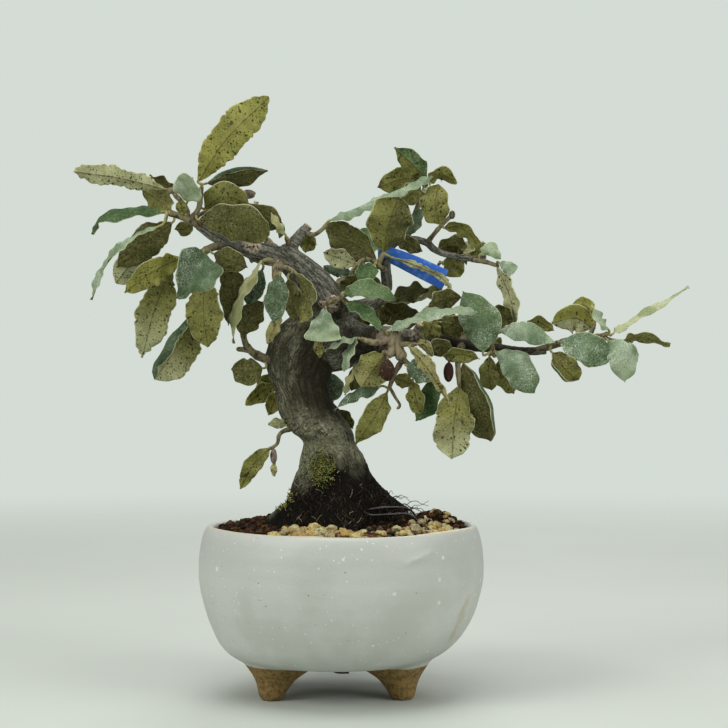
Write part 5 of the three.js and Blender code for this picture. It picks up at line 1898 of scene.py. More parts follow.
    def halves(self, leaf: Leaf, shares: np.ndarray, length: float, half: np.ndarray, serial: int,
               draw: random.Random) -> tuple[np.ndarray, np.ndarray, np.ndarray]:
        """The waved, crinkled and notched halves of a blade.

        Args:
            leaf: The leaf.
            shares: Shares of the way to its tip.
            length: Its length.
            half: Its half width at each share.
            serial: Its number on the spray, which shifts its waves.
            draw: The source of random numbers.

        Returns:
            Each point's way across from the rib and its rise, and each line's slope in radians.
        """
        away = np.abs(self.places_across)
        phase = serial * GOLDEN
        fade = smoothly(shares, 0.0, 0.12)
        big = 0.35 + 0.055 * leaf.width
        small = draw.uniform(0.25, 0.5) * min(1.0, leaf.width / 8)
        pitch = draw.uniform(3.8, 5.4)
        cup = draw.uniform(-0.3, 0.2)
        fold = leaf.fold + draw.uniform(-10, 6)
        lobed = 1 + 0.07 * np.sin(TURN * (2.4 * shares + draw.random())) * fade
        notch, apart = leaf.margin.value
        across = np.zeros((len(shares), len(away)))
        lift = np.zeros_like(across)
        tilt = np.zeros(len(away))
        for edge, shift, roll in ((-1, 0.0, leaf.roll[0]), (1, 0.35, leaf.roll[1])):
            chosen = np.sign(self.places_across) == edge
            out, up, angle = self.section(fold, roll, away[chosen])
            wave = big * np.sin(TURN * (2.5 * shares + phase + shift)) * fade
            crinkle = small * np.sin(TURN * (shares * length / pitch + 3 * phase + shift)) * fade
            run = shares * length / apart + phase + shift
            run += 0.3 * np.sin(2.3 * run + phase)
            nick = notch * (np.abs(np.sin(math.pi * run)) ** 0.7 - 0.7) * smoothly(shares, 0.04, 0.2)
            nick *= 0.6 + 0.4 * np.sin(1.7 * run + 5 * phase)
            across[:, chosen] = edge * (
                np.outer(half * lobed ** edge, out) + np.outer(nick, away[chosen] ** 4)
            )
            lift[:, chosen] = (
                np.outer(half, up) + np.outer(wave, away[chosen] ** 1.6)
                + np.outer(crinkle, away[chosen] ** 3) + cup * np.outer(half, away[chosen] ** 2)
            )
            tilt[chosen] = edge * angle
        return across, lift, tilt

    @staticmethod
    def section(fold: float, roll: float, away: np.ndarray) -> tuple[np.ndarray, np.ndarray, np.ndarray]:
        """How half a blade lies from its rib to its edge, for a half width of one.

        Args:
            fold: The angle by which the half is raised, in degrees.
            roll: How far its margin curls on, in degrees.
            away: Shares of the way to the edge.

        Returns:
            The reach sideways, the rise and the angle in radians at each share.
        """
        fine = np.linspace(0, 1, 101)
        angle = np.radians(fold + roll * smoothly(fine, 0.42, 0.8))
        out = np.cumsum(np.cos(angle)) / len(fine)
        up = np.cumsum(np.sin(angle)) / len(fine)
        return np.interp(away, fine, out), np.interp(away, fine, up), np.interp(away, fine, angle)

    def blade_tones(self, leaf: Leaf, places: np.ndarray) -> np.ndarray:
        """The colour of every point of a blade, with an alpha that marks its upper face.

        Args:
            leaf: The leaf.
            places: The places of its points.

        Returns:
            The colours.
        """
        shows_upper = leaf.turn <= 90
        hidden = Tone.OLIVE if shows_upper else Tone.DARK
        tones = np.zeros(places.shape[:2] + (4,))
        for upper, part in ((True, slice(0, self.across + 1)), (False, slice(self.across + 1, None))):
            shown = upper == shows_upper
            bare = not shown or leaf.tone in (Tone.FRESH, Tone.GREEN)
            alpha = (self.bare_face if bare else self.scurfy_face) if upper else 0.0
            main = np.array((leaf.tone if shown else hidden).linear(alpha))
            tones[:, part] = main
            if shown and leaf.half is not None:
                other = np.array(leaf.half.linear(alpha))
                share = smoothly(places[:, part, 1], -0.5, 0.5)[..., None]
                tones[:, part] = main * (1 - share) + other * share
            if shown and leaf.tip is not None:
                other = np.array(leaf.tip.linear(alpha))
                share = smoothly(places[:, part, 0] / places[-1, 0, 0], 0.35, 0.95)[..., None]
                tones[:, part] = tones[:, part] * (1 - share) + other * share
        return tones

    @staticmethod
    def width_at(form: Form, shares: np.ndarray) -> np.ndarray:
        """The share of its full width that a blade has at each place along it."""
        widths = Curve([[width] for width in form.value])
        return np.maximum(np.array([widths.at(share)[0] for share in shares]), 0.05)

    def add_fruit(self, body: Body, fruit: Fruit, draw: random.Random) -> None:
        """Adds a wrinkled fruit or bud on its stalk.

        Args:
            body: Where it is added.
            fruit: The fruit.
            draw: The source of random numbers.
        """
        middle = EYE.seen(fruit.at)
        top = middle + np.array([0, 0, fruit.height * 0.4])
        stalk = Curve([self.root_of(top), top])
        body.tube(stalk, np.full(6, 0.5), 8, Tone.TWIG.linear(), self.WOODY_SLOT)
        rounds, sides = 14, 20
        turns = around(sides)
        phase = draw.uniform(0, TURN)
        rings = []
        for step in range(rounds + 1):
            angle = math.pi * (0.02 + 0.96 * step / rounds)
            wrinkle = 1 + fruit.ribs * np.sin(5 * turns + phase + 1.4 * angle)
            reach = fruit.width / 2 * math.sin(angle) * wrinkle
            height = np.full(sides, -fruit.height / 2 * math.cos(angle))
            rings.append(middle + np.stack([reach * np.cos(turns), reach * np.sin(turns), height], axis=1))
        body.loft(np.array(rings), fruit.tone.linear(), self.WOODY_SLOT)


@dataclass(frozen=True)
class Lamp:
    """A square soft light: its name, its place and side in metres, and its power in watts."""

    name: str
    place: Row
    side: float
    power: float

    def hang(self, target: Vector) -> None:
        """Adds the light, facing a target in metres."""
        data = bpy.data.lights.new(self.name, "AREA")
        data.size = self.side
        data.energy = self.power
        light = linked(self.name, data)
        light.location = self.place
        light.rotation_euler = (target - Vector(self.place)).to_track_quat("-Z", "Y").to_euler()


@dataclass
class Studio:
    """The camera at the photographed view, soft lights and a pale floor."""

    lens: float = 88.76
    sensor: float = 36.0
    backdrop: Colour = Colour(212, 220, 213)
    room_light: tuple[float, float, float, float] = (0.95, 1.0, 0.96, 1.0)
    room_strength: float = 0.4
    floor_half: float = 1200.0
    aim_height: float = 100.0
    lamps: tuple[Lamp, ...] = (
        Lamp("overhead", (-0.1, -0.15, 1.25), 0.8, 9.2),
        Lamp("left", (-1.0, -0.75, 0.75), 0.7, 11.0),
        Lamp("right", (1.05, -0.7, 0.6), 0.8, 9.4),
        Lamp("rear", (0.2, 1.1, 0.9), 0.8, 5.0),
    )

    def build(self, axis: Sequence[float]) -> None:
        """Sets the camera, the lights, the floor and the backdrop.

        Args:
            axis: The pot's axis, x and y in millimetres.
        """
        data = bpy.data.cameras.new("camera")
        data.lens = self.lens
        data.sensor_width = self.sensor
        data.sensor_fit = "HORIZONTAL"
        data.clip_start = 0.01
        camera = linked("camera", data)
        camera.location = ((axis[0] + EYE.x) * METRES, (axis[1] - EYE.distance) * METRES, EYE.height * METRES)
        camera.rotation_euler = (math.pi / 2, 0, 0)
        bpy.context.scene.camera = camera
        bpy.context.scene.view_settings.view_transform = "Standard"
        target = Vector((axis[0], axis[1], self.aim_height)) * METRES
        for lamp in self.lamps:
            lamp.hang(target)
        self.floor()
        self.sky()

    def floor(self) -> None:
        """Lays the floor that the feet stand on."""
        half = self.floor_half * METRES
        mesh = bpy.data.meshes.new("floor")
        corners = [(-half, -half, 0), (half, -half, 0), (half, half, 0), (-half, half, 0)]
        mesh.from_pydata(corners, [], [(0, 1, 2, 3)])
        mesh.materials.append(FloorFinish().material())
        linked("floor", mesh)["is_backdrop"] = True

    def sky(self) -> None:
        """Lights the room evenly and shows the backdrop's colour behind the plant."""
        world = bpy.data.worlds.new("room")
        bpy.context.scene.world = world
        world.use_nodes = True
        nodes, links = world.node_tree.nodes, world.node_tree.links
        background = nodes["Background"]
        background.inputs["Color"].default_value = self.backdrop.linear()
        lit = nodes.new("ShaderNodeBackground")
        lit.inputs["Color"].default_value = self.room_light
        lit.inputs["Strength"].default_value = self.room_strength
        seen = nodes.new("ShaderNodeLightPath")
        mix = nodes.new("ShaderNodeMixShader")
        links.new(seen.outputs["Is Camera Ray"], mix.inputs[0])
        links.new(lit.outputs[0], mix.inputs[1])
        links.new(background.outputs[0], mix.inputs[2])
        links.new(mix.outputs[0], nodes["World Output"].inputs["Surface"])


SPRAYS: tuple[Spray, ...] = (
    Spray("top_left", twigs=(
        Twig(((-52, -12, 180.2), (-57, -13.6, 183.2), (-61, -15, 185), (-68, -17, 187.2)), 2.1, 1.1),
        Twig(((-60, -15, 184.6), (-61, -16, 189.5), (-66, -17.5, 195.2)), 1.2, 0.8),
        Twig(((-59, -14.4, 184.2), (-55.6, -16.4, 189), (-54.4, -17, 198)), 1.2, 0.8),
        Twig(((-58.6, -14.2, 184), (-52, -8.6, 188), (-37.5, -6, 194)), 0.9, 0.6),
    ), leaves=(
        Leaf(((-55.6, -17, 199.6), (-45, -19, 215.6), (-28.4, -13, 232)),
             14, 158, Form.BLUNT, Tone.YELLOW, margin=Margin.CRENATE),
        Leaf(((-69.5, -18, 196.4), (-86, -20, 200.4), (-104.4, -16, 203)),
             8, 155, Form.OBLONG, Tone.GREY, margin=Margin.CRENATE),
        Leaf(((-64, -13, 196.4), (-70, -10, 199), (-77, -7, 200)),
             6.5, 145, tone=Tone.SHADED_OLIVE, margin=Margin.CRENATE),
        Leaf(((-66.6, -13, 187.8), (-71, -9, 191.6), (-77.6, -6, 196)), 10, 165),
        Leaf(((-60.2, -18.5, 191.6), (-59.4, -23, 197), (-58, -29, 200.6)),
             11.2, 0, Form.ROUND, Tone.PALE, margin=Margin.SMOOTH),
        Leaf(((-52, -12, 198.6), (-42, -9, 201), (-28.8, -8, 203.6)),
             11.5, 145, tone=Tone.SHADED_OLIVE, fold=10, roll=(0, -150), margin=Margin.SMOOTH),
        Leaf(((-53, -15, 189), (-46, -19, 193.4), (-36, -16, 190.4)),
             11, 165, Form.ROUND, Tone.OLIVE, margin=Margin.SMOOTH),
        Leaf(((-55, -17, 184.4), (-42, -21, 183.4), (-28, -18, 178.6)),
             14.5, 160, Form.BLUNT, Tone.SHADED_OLIVE, margin=Margin.SMOOTH),
        Leaf(((-44, -7, 184), (-33, -5, 185.4), (-22.6, -5, 182.4)), 10.5, 160, Form.ROUND, Tone.SHADED_OLIVE),
        Leaf(((-70, -17, 187.4), (-82, -19, 187.6), (-94, -18, 184.4), (-97, -18, 178.4)),
             7, 50, Form.POINT, Tone.FRESH, margin=Margin.SMOOTH),
        Leaf(((-61, -16.5, 186.6), (-62.4, -18, 189), (-62, -19, 191.8)), 4.4, 175),
        Leaf(((-72, -19.5, 181.4), (-84, -23, 175), (-92.6, -22, 165.6), (-97.4, -20, 153)),
             5.6, 55, Form.STRAP, Tone.MINT),
        Leaf(((-66.4, -16, 183), (-76, -16, 175.6), (-87.4, -14, 165.6)),
             12.5, 170, tone=Tone.SHADED_OLIVE, margin=Margin.CRENATE),
        Leaf(((-75, -11, 173), (-81, -10, 168), (-88, -8, 159.6)), 10.5, 165, Form.BLUNT, Tone.GREY),
        Leaf(((-59, -12.6, 182.6), (-61.4, -10, 180.6), (-65, -8.6, 180.6)), 6.4, 150),
    ), fruits=(
        Fruit((-36.4, -6, 194.2), 4.6, 3.6, Tone.BUD, 0.42),
        Fruit((-66.4, -17.6, 195.6), 3, 2.6, Tone.BUD),
    )),
    Spray("left_hanging", twigs=(
        Twig(((-42, -9.6, 175.4), (-50, -12, 173.6), (-55, -14, 171.4), (-62, -16, 169.6)), 1.8, 1),
        Twig(((-47, -11.4, 174.4), (-48.6, -9, 166), (-51, -8, 158), (-55, -6, 149)), 1, 0.7),
    ), leaves=(
        Leaf(((-63, -17, 169.4), (-73, -20, 164.4), (-84.6, -17, 156)),
             10.5, 160, tone=Tone.YELLOW, margin=Margin.CRENATE),
        Leaf(((-66.6, -13, 165.4), (-73, -14, 149), (-77.8, -10, 130.4)),
             14, 160, tip=Tone.GREY, margin=Margin.CRENATE),
        Leaf(((-57, -6, 147), (-64, -9, 135.4), (-72.8, -7, 122)),
             18, 155, Form.BLUNT, fold=-8, tip=Tone.GREY, roll=(-145, 0), margin=Margin.CRENATE),
        Leaf(((-54, -16, 171.6), (-58.4, -20, 163), (-63.8, -20, 153.4)),
             23, -30, Form.POINT, Tone.SAGE, 40, Tone.DARK, margin=Margin.SMOOTH),
        Leaf(((-53, -12, 160.6), (-53.6, -15, 148), (-52, -11, 134.6)), 15, 168, margin=Margin.CRENATE),
        Leaf(((-45, -8, 168), (-42.4, -5, 157), (-44, -3, 143)), 10, 165, tone=Tone.SHADED_OLIVE),
        Leaf(((-49.6, -14, 171), (-44, -15, 168.6), (-36.6, -13, 165.6)), 9.5, 155, tone=Tone.SHADED_OLIVE),
    )),
    Spray("limb_front", twigs=(
        Twig(((-22, -4, 168), (-24.4, -12, 166.4), (-26, -15, 164.4), (-25, -15.6, 156), (-24, -15, 148)),
             1.5, 0.8),
        Twig(((-24.6, -12.4, 166.2), (-28, -12.8, 168.6), (-31, -13, 168)), 1.1, 0.8),
        Twig(((-25, -13.4, 165.8), (-21, -15.6, 165.4), (-18, -16.4, 163.6)), 1.1, 0.8),
    ), leaves=(
        Leaf(((-31.4, -13, 168), (-36, -15, 159.6), (-41, -15, 149), (-42.4, -14, 136)),
             7.4, 62, Form.STRAP, Tone.BEIGE),
        Leaf(((-31, -11.5, 164.6), (-34, -11, 158), (-36.6, -10.6, 151)), 8.5, 15, tone=Tone.DARK),
        Leaf(((-24, -17.6, 162.6), (-25.4, -20.6, 154), (-26.4, -18, 144)), 9, 4, tone=Tone.DARK),
        Leaf(((-17.6, -17, 163), (-13.6, -19, 157), (-13.6, -18.6, 150), (-16.6, -17, 143.8)),
             7, 140, Form.STRAP, Tone.SHADED_OLIVE, tip=Tone.OLIVE, margin=Margin.CRENATE),
        Leaf(((-20.6, -15.6, 161), (-19, -16, 153), (-18, -15.6, 145)), 8, 170, tone=Tone.SHADED_OLIVE),
        Leaf(((-23.6, -15.4, 146.6), (-26.4, -16, 142), (-29, -15, 136)), 5, 155, tone=Tone.BEIGE),
    )),
    Spray("trunk_left", twigs=(
        Twig(((-22, 0, 128.4), (-30, -3, 130.2), (-35.4, -5, 133.2), (-38, -6, 138), (-38.4, -7, 147)),
             2.1, 0.9),
        Twig(((-35.8, -5, 133.6), (-41, -6, 133.8)), 1.2, 0.9),
    ), leaves=(
        Leaf(((-38.6, -8, 139), (-36, -9, 146), (-30.4, -8, 152.4)), 10.4, 168, tone=Tone.SHADED_OLIVE),
        Leaf(((-31, -4.6, 126.4), (-36.6, -6, 125), (-43, -5, 126)),
             10.4, 172, Form.ROUND, Tone.SHADED_OLIVE, margin=Margin.SMOOTH),
    )),
    Spray("trunk_low", twigs=(
        Twig(((-15, 0, 103.6), (-21.6, -3, 102.2), (-24.2, -4, 100.4), (-25, -4, 97), (-27.6, -4, 95)),
             1, 0.6),
        Twig(((-26.8, -4, 95.4), (-26.4, -4.2, 92), (-26, -4, 88)), 0.6, 0.5),
    ), leaves=(
        Leaf(((-28, -4.6, 95.2), (-34.4, -6.4, 89), (-39.5, -5, 79.4)), 7, 165),
        Leaf(((-26.2, -4, 89), (-26.4, -5, 87), (-26, -4, 84.2)), 2.6, 10, Form.STRAP, Tone.BEIGE),
        Leaf(((-21.4, -3.6, 104), (-24.6, -4.4, 105), (-28.6, -5, 104.6)), 4.4, 20, tone=Tone.BEIGE),
    ), fruits=(
        Fruit((-26.4, -4.2, 92), 2.6, 6, Tone.KNOB),
    )),
    Spray("trunk_behind_left", twigs=(
        Twig(((-14, 4, 119.6), (-20, 15, 120), (-24, 18, 119.4)), 1.3, 0.8),
    ), leaves=(
        Leaf(((-25.6, 17, 119.4), (-31, 16, 117.4), (-37.4, 14, 112)), 8, 160, tone=Tone.YELLOW),
        Leaf(((-24.6, 17, 117), (-26.6, 16, 113), (-28.4, 14, 108)), 7, 168, tone=Tone.YELLOW),
        Leaf(((-24.6, 18, 121), (-29, 18, 121.6), (-33.4, 17, 119.4)), 6, 150, tone=Tone.YELLOW),
    )),
    Spray("trunk_behind_right", twigs=(
        Twig(((-9, 4, 113), (-5, 14, 112.4), (-2.4, 16, 111)), 1.1, 0.8),
    ), leaves=(
        Leaf(((-1, 16, 110), (2, 15, 107), (4.6, 14, 102.6)), 5.6, 165),
        Leaf(((-3.4, 15.6, 113.6), (-2.4, 14, 118.6), (-4.4, 14, 124.4)), 8, 10, tone=Tone.DARK),
    )),
    Spray("fork", twigs=(
        Twig(((-1, 0, 153.4), (0, -9.6, 154), (0.2, -10.4, 155.2)), 1.3, 1),
        Twig(((0, -9.4, 153.8), (-2.6, -12.4, 152.8), (-6.2, -13, 150.6), (-8.6, -13.2, 140)), 1.1, 0.7),
        Twig(((0, -9.4, 153.8), (1.4, -10.4, 151.8)), 1, 0.8),
    ), leaves=(
        Leaf(((0.8, -10.4, 155.8), (10, -13, 157.2), (21.4, -11, 153.2)), 8.4, 36, tone=Tone.GREEN),
        Leaf(((-6.4, -14.6, 149.8), (-7, -17.6, 143), (-7, -18, 136.6)),
             14, 5, Form.FAN, Tone.MINT, 10, tip=Tone.PALE, margin=Margin.SMOOTH),
        Leaf(((-8.8, -14, 139), (-8.8, -15, 135), (-8.2, -14.6, 130.4)), 3.8, 165),
        Leaf(((2, -10.8, 151.6), (9, -14, 148.4), (15.6, -16, 141)), 6, 40, Form.STRAP, Tone.FRESH),
    )),
    Spray("knuckle", twigs=(
        Twig(((14.6, -6, 138.6), (19, -12, 138), (22, -13, 134), (24, -13, 129.4)), 2.8, 1.9, Tone.KNOB),
        Twig(((20, -12.4, 136.6), (22.4, -13.4, 142)), 2.1, 1.6, Tone.KNOB),
        Twig(((18.6, -12.4, 138), (13, -14.6, 136.4), (7, -15, 138)), 1.7, 0.8, Tone.KNOB),
        Twig(((21, -12.6, 135.4), (18.6, -14, 131.6), (16, -13, 133)), 1.8, 1.2, Tone.KNOB),
        Twig(((22.6, -12.8, 133), (13, -9, 129), (5, -8, 127.4)), 1, 0.7),
        Twig(((24, -13, 130), (20.6, -10.4, 124), (18.6, -9, 118.4)), 1.1, 0.8),
        Twig(((18.8, -9, 119), (21, -9, 115), (22.8, -9, 112), (21.6, -9, 110.4)), 0.6, 0.5),
        Twig(((23.6, -13, 130), (27, -13.4, 127), (31, -12.6, 122)), 1.2, 0.8),
        Twig(((21.4, -12.8, 135), (25, -15, 135.8), (29, -16, 135.4)), 1.3, 0.8),
        Twig(((18.4, -11.8, 138.4), (17.6, -14.6, 140.6)), 1.3, 1.1),
    ), leaves=(
        Leaf(((6, -15.4, 138.2), (0, -18, 136.4), (-6.6, -17, 133)), 5, 58, Form.POINT, Tone.MINT),
        Leaf(((5.6, -15.4, 137.6), (2.4, -17, 131.6), (1, -16, 125)), 6, 52, Form.STRAP, Tone.PALE),
        Leaf(((4.8, -8.4, 126.6), (4.6, -8, 122), (4, -7, 117.6)), 5.4, 168),
        Leaf(((5.4, -9.4, 126), (2.6, -10.4, 121.4), (1.4, -10, 115.8)), 4.4, 55, Form.STRAP, Tone.BEIGE),
        Leaf(((16.6, -14, 131.4), (12.6, -16.6, 126), (7.8, -14.6, 118.8)),
             13, 168, Form.ROUND, Tone.OLIVE, tip=Tone.BEIGE, margin=Margin.SMOOTH),
        Leaf(((14.6, -10, 119), (6, -12, 116.6), (-3, -12, 110)), 6.4, 35, Form.POINT, Tone.DARK),
        Leaf(((17.6, -9.6, 116.6), (13, -12, 107.6), (5.6, -9, 96.8)), 9.8, 162),
        Leaf(((20.4, -9, 122.6), (24, -8.4, 121.6), (28, -8, 120)), 6, 160),
        Leaf(((25.6, -15.4, 127.4), (30.6, -18, 125.6), (36.8, -17, 122.4)), 9, 12, Form.ROUND, Tone.DARK),
        Leaf(((28, -13, 121), (29, -14, 115), (30.6, -12, 108)), 7, 168),
        Leaf(((34.6, -11.6, 121.4), (34.2, -10.6, 114), (29, -8, 105.8)), 9.4, 20, tone=Tone.FRESH),
        Leaf(((26.8, -17, 134.4), (34, -21, 126), (42.2, -20, 112.6)), 6.6, 140, Form.POINT, Tone.BEIGE),
        Leaf(((29.6, -16.4, 135.8), (32.6, -17, 135.4), (35.6, -17, 131)), 4.6, 150, tone=Tone.BEIGE),
        Leaf(((18, -15, 141), (28, -19.4, 145.8), (40, -21, 149), (53, -19, 148.4)),
             8.4, 55, tone=Tone.MINT),
    ), fruits=(
        Fruit((17.8, -19.6, 125.6), 5, 8.4, ribs=0.22),
    )),
    Spray("centre", twigs=(
        Twig(((17, 7.6, 164.6), (15.4, 0.6, 165.6), (13.6, -2, 167.6)), 1.2, 0.9),
        Twig(((14, -1.6, 167.2), (9, -2, 169), (4.4, -2.6, 164.8)), 0.9, 0.7),
        Twig(((14.4, -1, 167), (16.4, -1.6, 171.4)), 1, 0.9),
    ), leaves=(
        Leaf(((16.6, -1.8, 172), (18.4, -7, 182.4), (22.4, -10, 193.2)),
             17, 170, Form.BLUNT, Tone.SHADED_OLIVE, half=Tone.OLIVE),
        Leaf(((13.4, -1.6, 168.6), (4, 1, 175.6), (-6.6, 3, 182.6)), 13, 165, tone=Tone.SHADED_OLIVE),
        Leaf(((5.6, -2, 167), (-0.4, -1, 169.2), (-7, 0, 171.6)), 8, 155, tone=Tone.GREY),
        Leaf(((12.6, -3.4, 166.6), (9.6, -6.4, 163.6), (6.4, -7, 160.6)), 8, 10, Form.ROUND, Tone.FRESH),
        Leaf(((3.6, 1, 163.6), (-1, 5, 164.6), (-7, 8, 166)), 5, 25, tone=Tone.DARK),
        Leaf(((21, -1.2, 169.2), (29, -2.2, 166.6), (39.4, -2, 161.6), (44.2, -1, 153.8)),
             2.6, 150, Form.STRAP, Tone.GREY, margin=Margin.CRENATE),
        Leaf(((5.4, 2, 162.4), (3.4, 5, 158.4), (0.4, 6, 154)), 8.4, 160, tone=Tone.SHADED_OLIVE),
        Leaf(((11.4, 2, 163.6), (13, 5, 159), (14.8, 7, 153.6)), 7.4, 155, tone=Tone.SHADED_OLIVE),
        Leaf(((20.4, 5, 178), (26, 6, 175), (31.6, 6, 171.8)), 6.4, 160, tone=Tone.SHADED_OLIVE),
    )),
    Spray("pruned_stub", twigs=(
        Twig(((-15, -3.4, 179.6), (-11, -4.8, 178.4), (-7.4, -5.6, 180.6), (-5, -6, 183.6)), 1, 0.7),
    ), leaves=(
        Leaf(((-4.6, -6.4, 184), (8, -3.6, 189.6), (21, -2, 195.2), (35.4, 0, 201.4)),
             9.4, 57, tone=Tone.MINT, margin=Margin.SMOOTH),
        Leaf(((-11.4, -1, 177.8), (-13, 2, 175), (-14, 3, 171.4)), 7, 165),
    )),
    Spray("stub_foot", twigs=(
        Twig(((-20, -4.4, 173.4), (-21.6, -9.4, 177.6)), 1.1, 0.9),
    ), leaves=(
        Leaf(((-21.8, -9.6, 178.4), (-24, -11, 182.4), (-27.4, -11, 187)), 5, 60, Form.STRAP, Tone.BEIGE),
    )),
    Spray("crown", twigs=(
        Twig(((25, 8, 176.4), (27, 10, 182), (30, 11, 190), (33.4, 11, 199)), 1.4, 0.8),
    ), leaves=(
        Leaf(((26, 7.4, 178.4), (28.2, 4.6, 183.2), (31.6, 4.6, 188.8)), 6.4, 18, tone=Tone.MINT),
        Leaf(((33, 10, 200.4), (28, 9, 205.6), (20.6, 10, 212.4)),
             9.6, 150, tone=Tone.GREEN, fold=16, half=Tone.OLIVE),
        Leaf(((32, 12, 200), (24, 14, 200.2), (14, 14, 197)), 9.6, 158, Form.ROUND),
        Leaf(((30.6, 9.4, 197.4), (27.4, 8, 194.6), (22.6, 8, 191.4)), 8.6, 165, Form.ROUND),
        Leaf(((33.6, 9.6, 198.8), (39, 8.4, 202), (45, 9, 198.4)), 7, 135),
        Leaf(((34.4, 9, 198.2), (34.4, 7.6, 196.4), (33.2, 7.4, 194.2)), 5, 10, Form.FAN, Tone.PALE),
    )),
    Spray("side_bud", twigs=(
        Twig(((33.4, 7, 175.2), (36.2, 3.6, 178.8), (38.6, 2.6, 181.6), (43, 1.6, 186)), 1, 0.7),
    ), leaves=(
        Leaf(((38.4, 1.6, 182.6), (36.6, -0.4, 190), (38, 1, 198)), 11, 165, Form.ROUND),
        Leaf(((40.4, 2, 181.2), (45.4, 1, 181.8), (50.4, 0, 178.6), (54.2, 0, 172.8)),
             6.6, 140, Form.STRAP),
    ), fruits=(
        Fruit((43.2, 1.6, 186.2), 2.4, 3.4, Tone.BUD),
    )),
    Spray("branch_back", twigs=(
        Twig(((47.6, 3.4, 169.4), (48.4, 9, 170.2), (49, 16, 170.6)), 1.1, 0.7),
    ), leaves=(
        Leaf(((47.6, 9.6, 171.4), (44.4, 10.6, 174), (37.4, 11, 172.6)), 8.6, 160, Form.ROUND, Tone.SHADED_OLIVE),
        Leaf(((47.8, 9.6, 169), (44, 9.6, 166.8), (39.6, 9, 162.6)), 10, 160),
        Leaf(((49, 16.4, 171), (51.4, 26, 172.6), (51, 37, 172)), 11, 90),
        Leaf(((48.6, 15, 169.8), (43, 22, 169), (39, 31, 167.6)), 11, 100, tone=Tone.SHADED_OLIVE),
    )),
    Spray("branch_end", twigs=(
        Twig(((50.4, 3, 169.2), (52.4, -1, 168.4), (56.4, -2, 167.8), (61, -2.6, 166.2)), 1.1, 0.8),
    ), leaves=(
        Leaf(((54.6, -3, 170.8), (58, -4.6, 173), (62.2, -4.6, 169)), 6, 26, tone=Tone.PALE),
        Leaf(((61.2, -3.4, 167.6), (64, -4.4, 166.4), (67.4, -5, 163.6)), 6.6, 12, Form.FAN, Tone.MINT),
        Leaf(((61, -3, 165.4), (64.6, -4.4, 158), (66.8, -5, 151), (67.8, -4, 143)),
             7.4, 132, Form.STRAP, Tone.GREY),
    )),
    Spray("branch_middle", twigs=(
        Twig(((39, -3, 137), (37.6, -4, 141), (36, -4, 149)), 1.2, 0.7),
    ), leaves=(
        Leaf(((34, -3.6, 150.4), (39.6, -2, 153.2), (47, -1, 154)), 8.6, 152, tone=Tone.SHADED_OLIVE),
        Leaf(((36, -5.4, 145.6), (34.8, -6.6, 142), (33.4, -6, 137)), 8.6, 162, Form.BLUNT),
        Leaf(((39, -5, 144.2), (43, -6.4, 143.2), (48.4, -5.4, 141)), 8, 158, tone=Tone.SHADED_OLIVE),
    )),
    Spray("right_low", twigs=(
        Twig(((47, -2.6, 135.8), (46, -8, 132), (45.4, -10, 129), (45.6, -11.4, 124), (46, -12, 119)),
             1.5, 0.8),
        Twig(((45.6, -9.4, 130), (42.4, -10.4, 129.6), (40.4, -10.4, 131)), 0.9, 0.7),
    ), leaves=(
        Leaf(((40, -10.6, 131.2), (46.4, -12.6, 132), (54, -12, 130)), 6.4, 150),
        Leaf(((47.6, -10.6, 128), (53, -14, 114), (58.2, -10, 97.8)),
             15, 162, Form.BLUNT, Tone.SHADED_OLIVE, fold=8, roll=(0, -120), margin=Margin.SMOOTH),
        Leaf(((45.8, -12.6, 119), (44, -17, 106), (43, -15, 91)),
             15, 166, Form.BLUNT, Tone.OLIVE, tip=Tone.GREY, margin=Margin.CRENATE),
        Leaf(((43.4, -7.6, 134), (38.4, -8, 134.4), (33, -7, 132.4)), 7.6, 158, tone=Tone.SHADED_OLIVE),
    ), fruits=(
        Fruit((41.8, -10.6, 124.8), 3.8, 7.6),
    )),
    Spray("right_middle", twigs=(
        Twig(((58, -2.6, 134.4), (58.4, -8, 136), (60.4, -9.4, 141)), 1.4, 0.9),
        Twig(((58.4, -7.6, 135.8), (59.4, -8.6, 131)), 1.1, 0.9),
        Twig(((60, -9, 140), (66, -6.6, 142.4), (71, -5.4, 143)), 0.9, 0.7),
    ), leaves=(
        Leaf(((55.4, -10.6, 133), (54.6, -14, 144), (47.4, -13, 156.4)),
             15.4, 8, tone=Tone.SAGE, half=Tone.GREEN, margin=Margin.SMOOTH),
        Leaf(((61.6, -10, 141), (72, -12.6, 140.8), (83.2, -11, 136.4)),
             8.4, 25, tone=Tone.MINT, margin=Margin.SMOOTH),
        Leaf(((60.6, -10, 132.6), (68.6, -13, 127.6), (75.4, -11, 116.8)),
             12.6, 10, Form.BLUNT, Tone.MINT, tip=Tone.GREEN, margin=Margin.SMOOTH),
        Leaf(((57.8, -7, 130.8), (57.4, -6.6, 124.6), (58.4, -5, 117.8)), 7.4, 168, Form.BLUNT),
        Leaf(((62, -6.6, 130), (64, -6, 123.6), (67.2, -4, 116.4)), 9, 162),
        Leaf(((66.6, -5.4, 143.4), (63, -4.4, 147.4), (58.4, -3.6, 149.4)), 7.4, 158, tone=Tone.SHADED_OLIVE),
        Leaf(((71.6, -5, 143.4), (77, -4.4, 144.4), (83, -4, 141)), 5.6, 150),
    )),
    Spray("right_end", twigs=(
        Twig(((76, -4.6, 133.2), (85, -6, 136), (93, -7, 138.6), (100, -8, 138.8), (104.2, -8.4, 140)),
             1.5, 0.8),
        Twig(((96.6, -7.6, 138.8), (98.4, -5.6, 142.6), (98.6, -4.4, 146.6)), 0.9, 0.7),
        Twig(((101, -8.2, 138.8), (105.4, -7, 137.4), (109, -6.4, 137)), 0.8, 0.6),
    ), leaves=(
        Leaf(((82.4, -9.6, 132.2), (86.6, -12, 126.6), (92.2, -11, 121.8)),
             11, 162, Form.BLUNT, roll=(-130, 0)),
        Leaf(((85.4, -10.6, 136.4), (95, -14.4, 134.2), (105.4, -13, 130.6)),
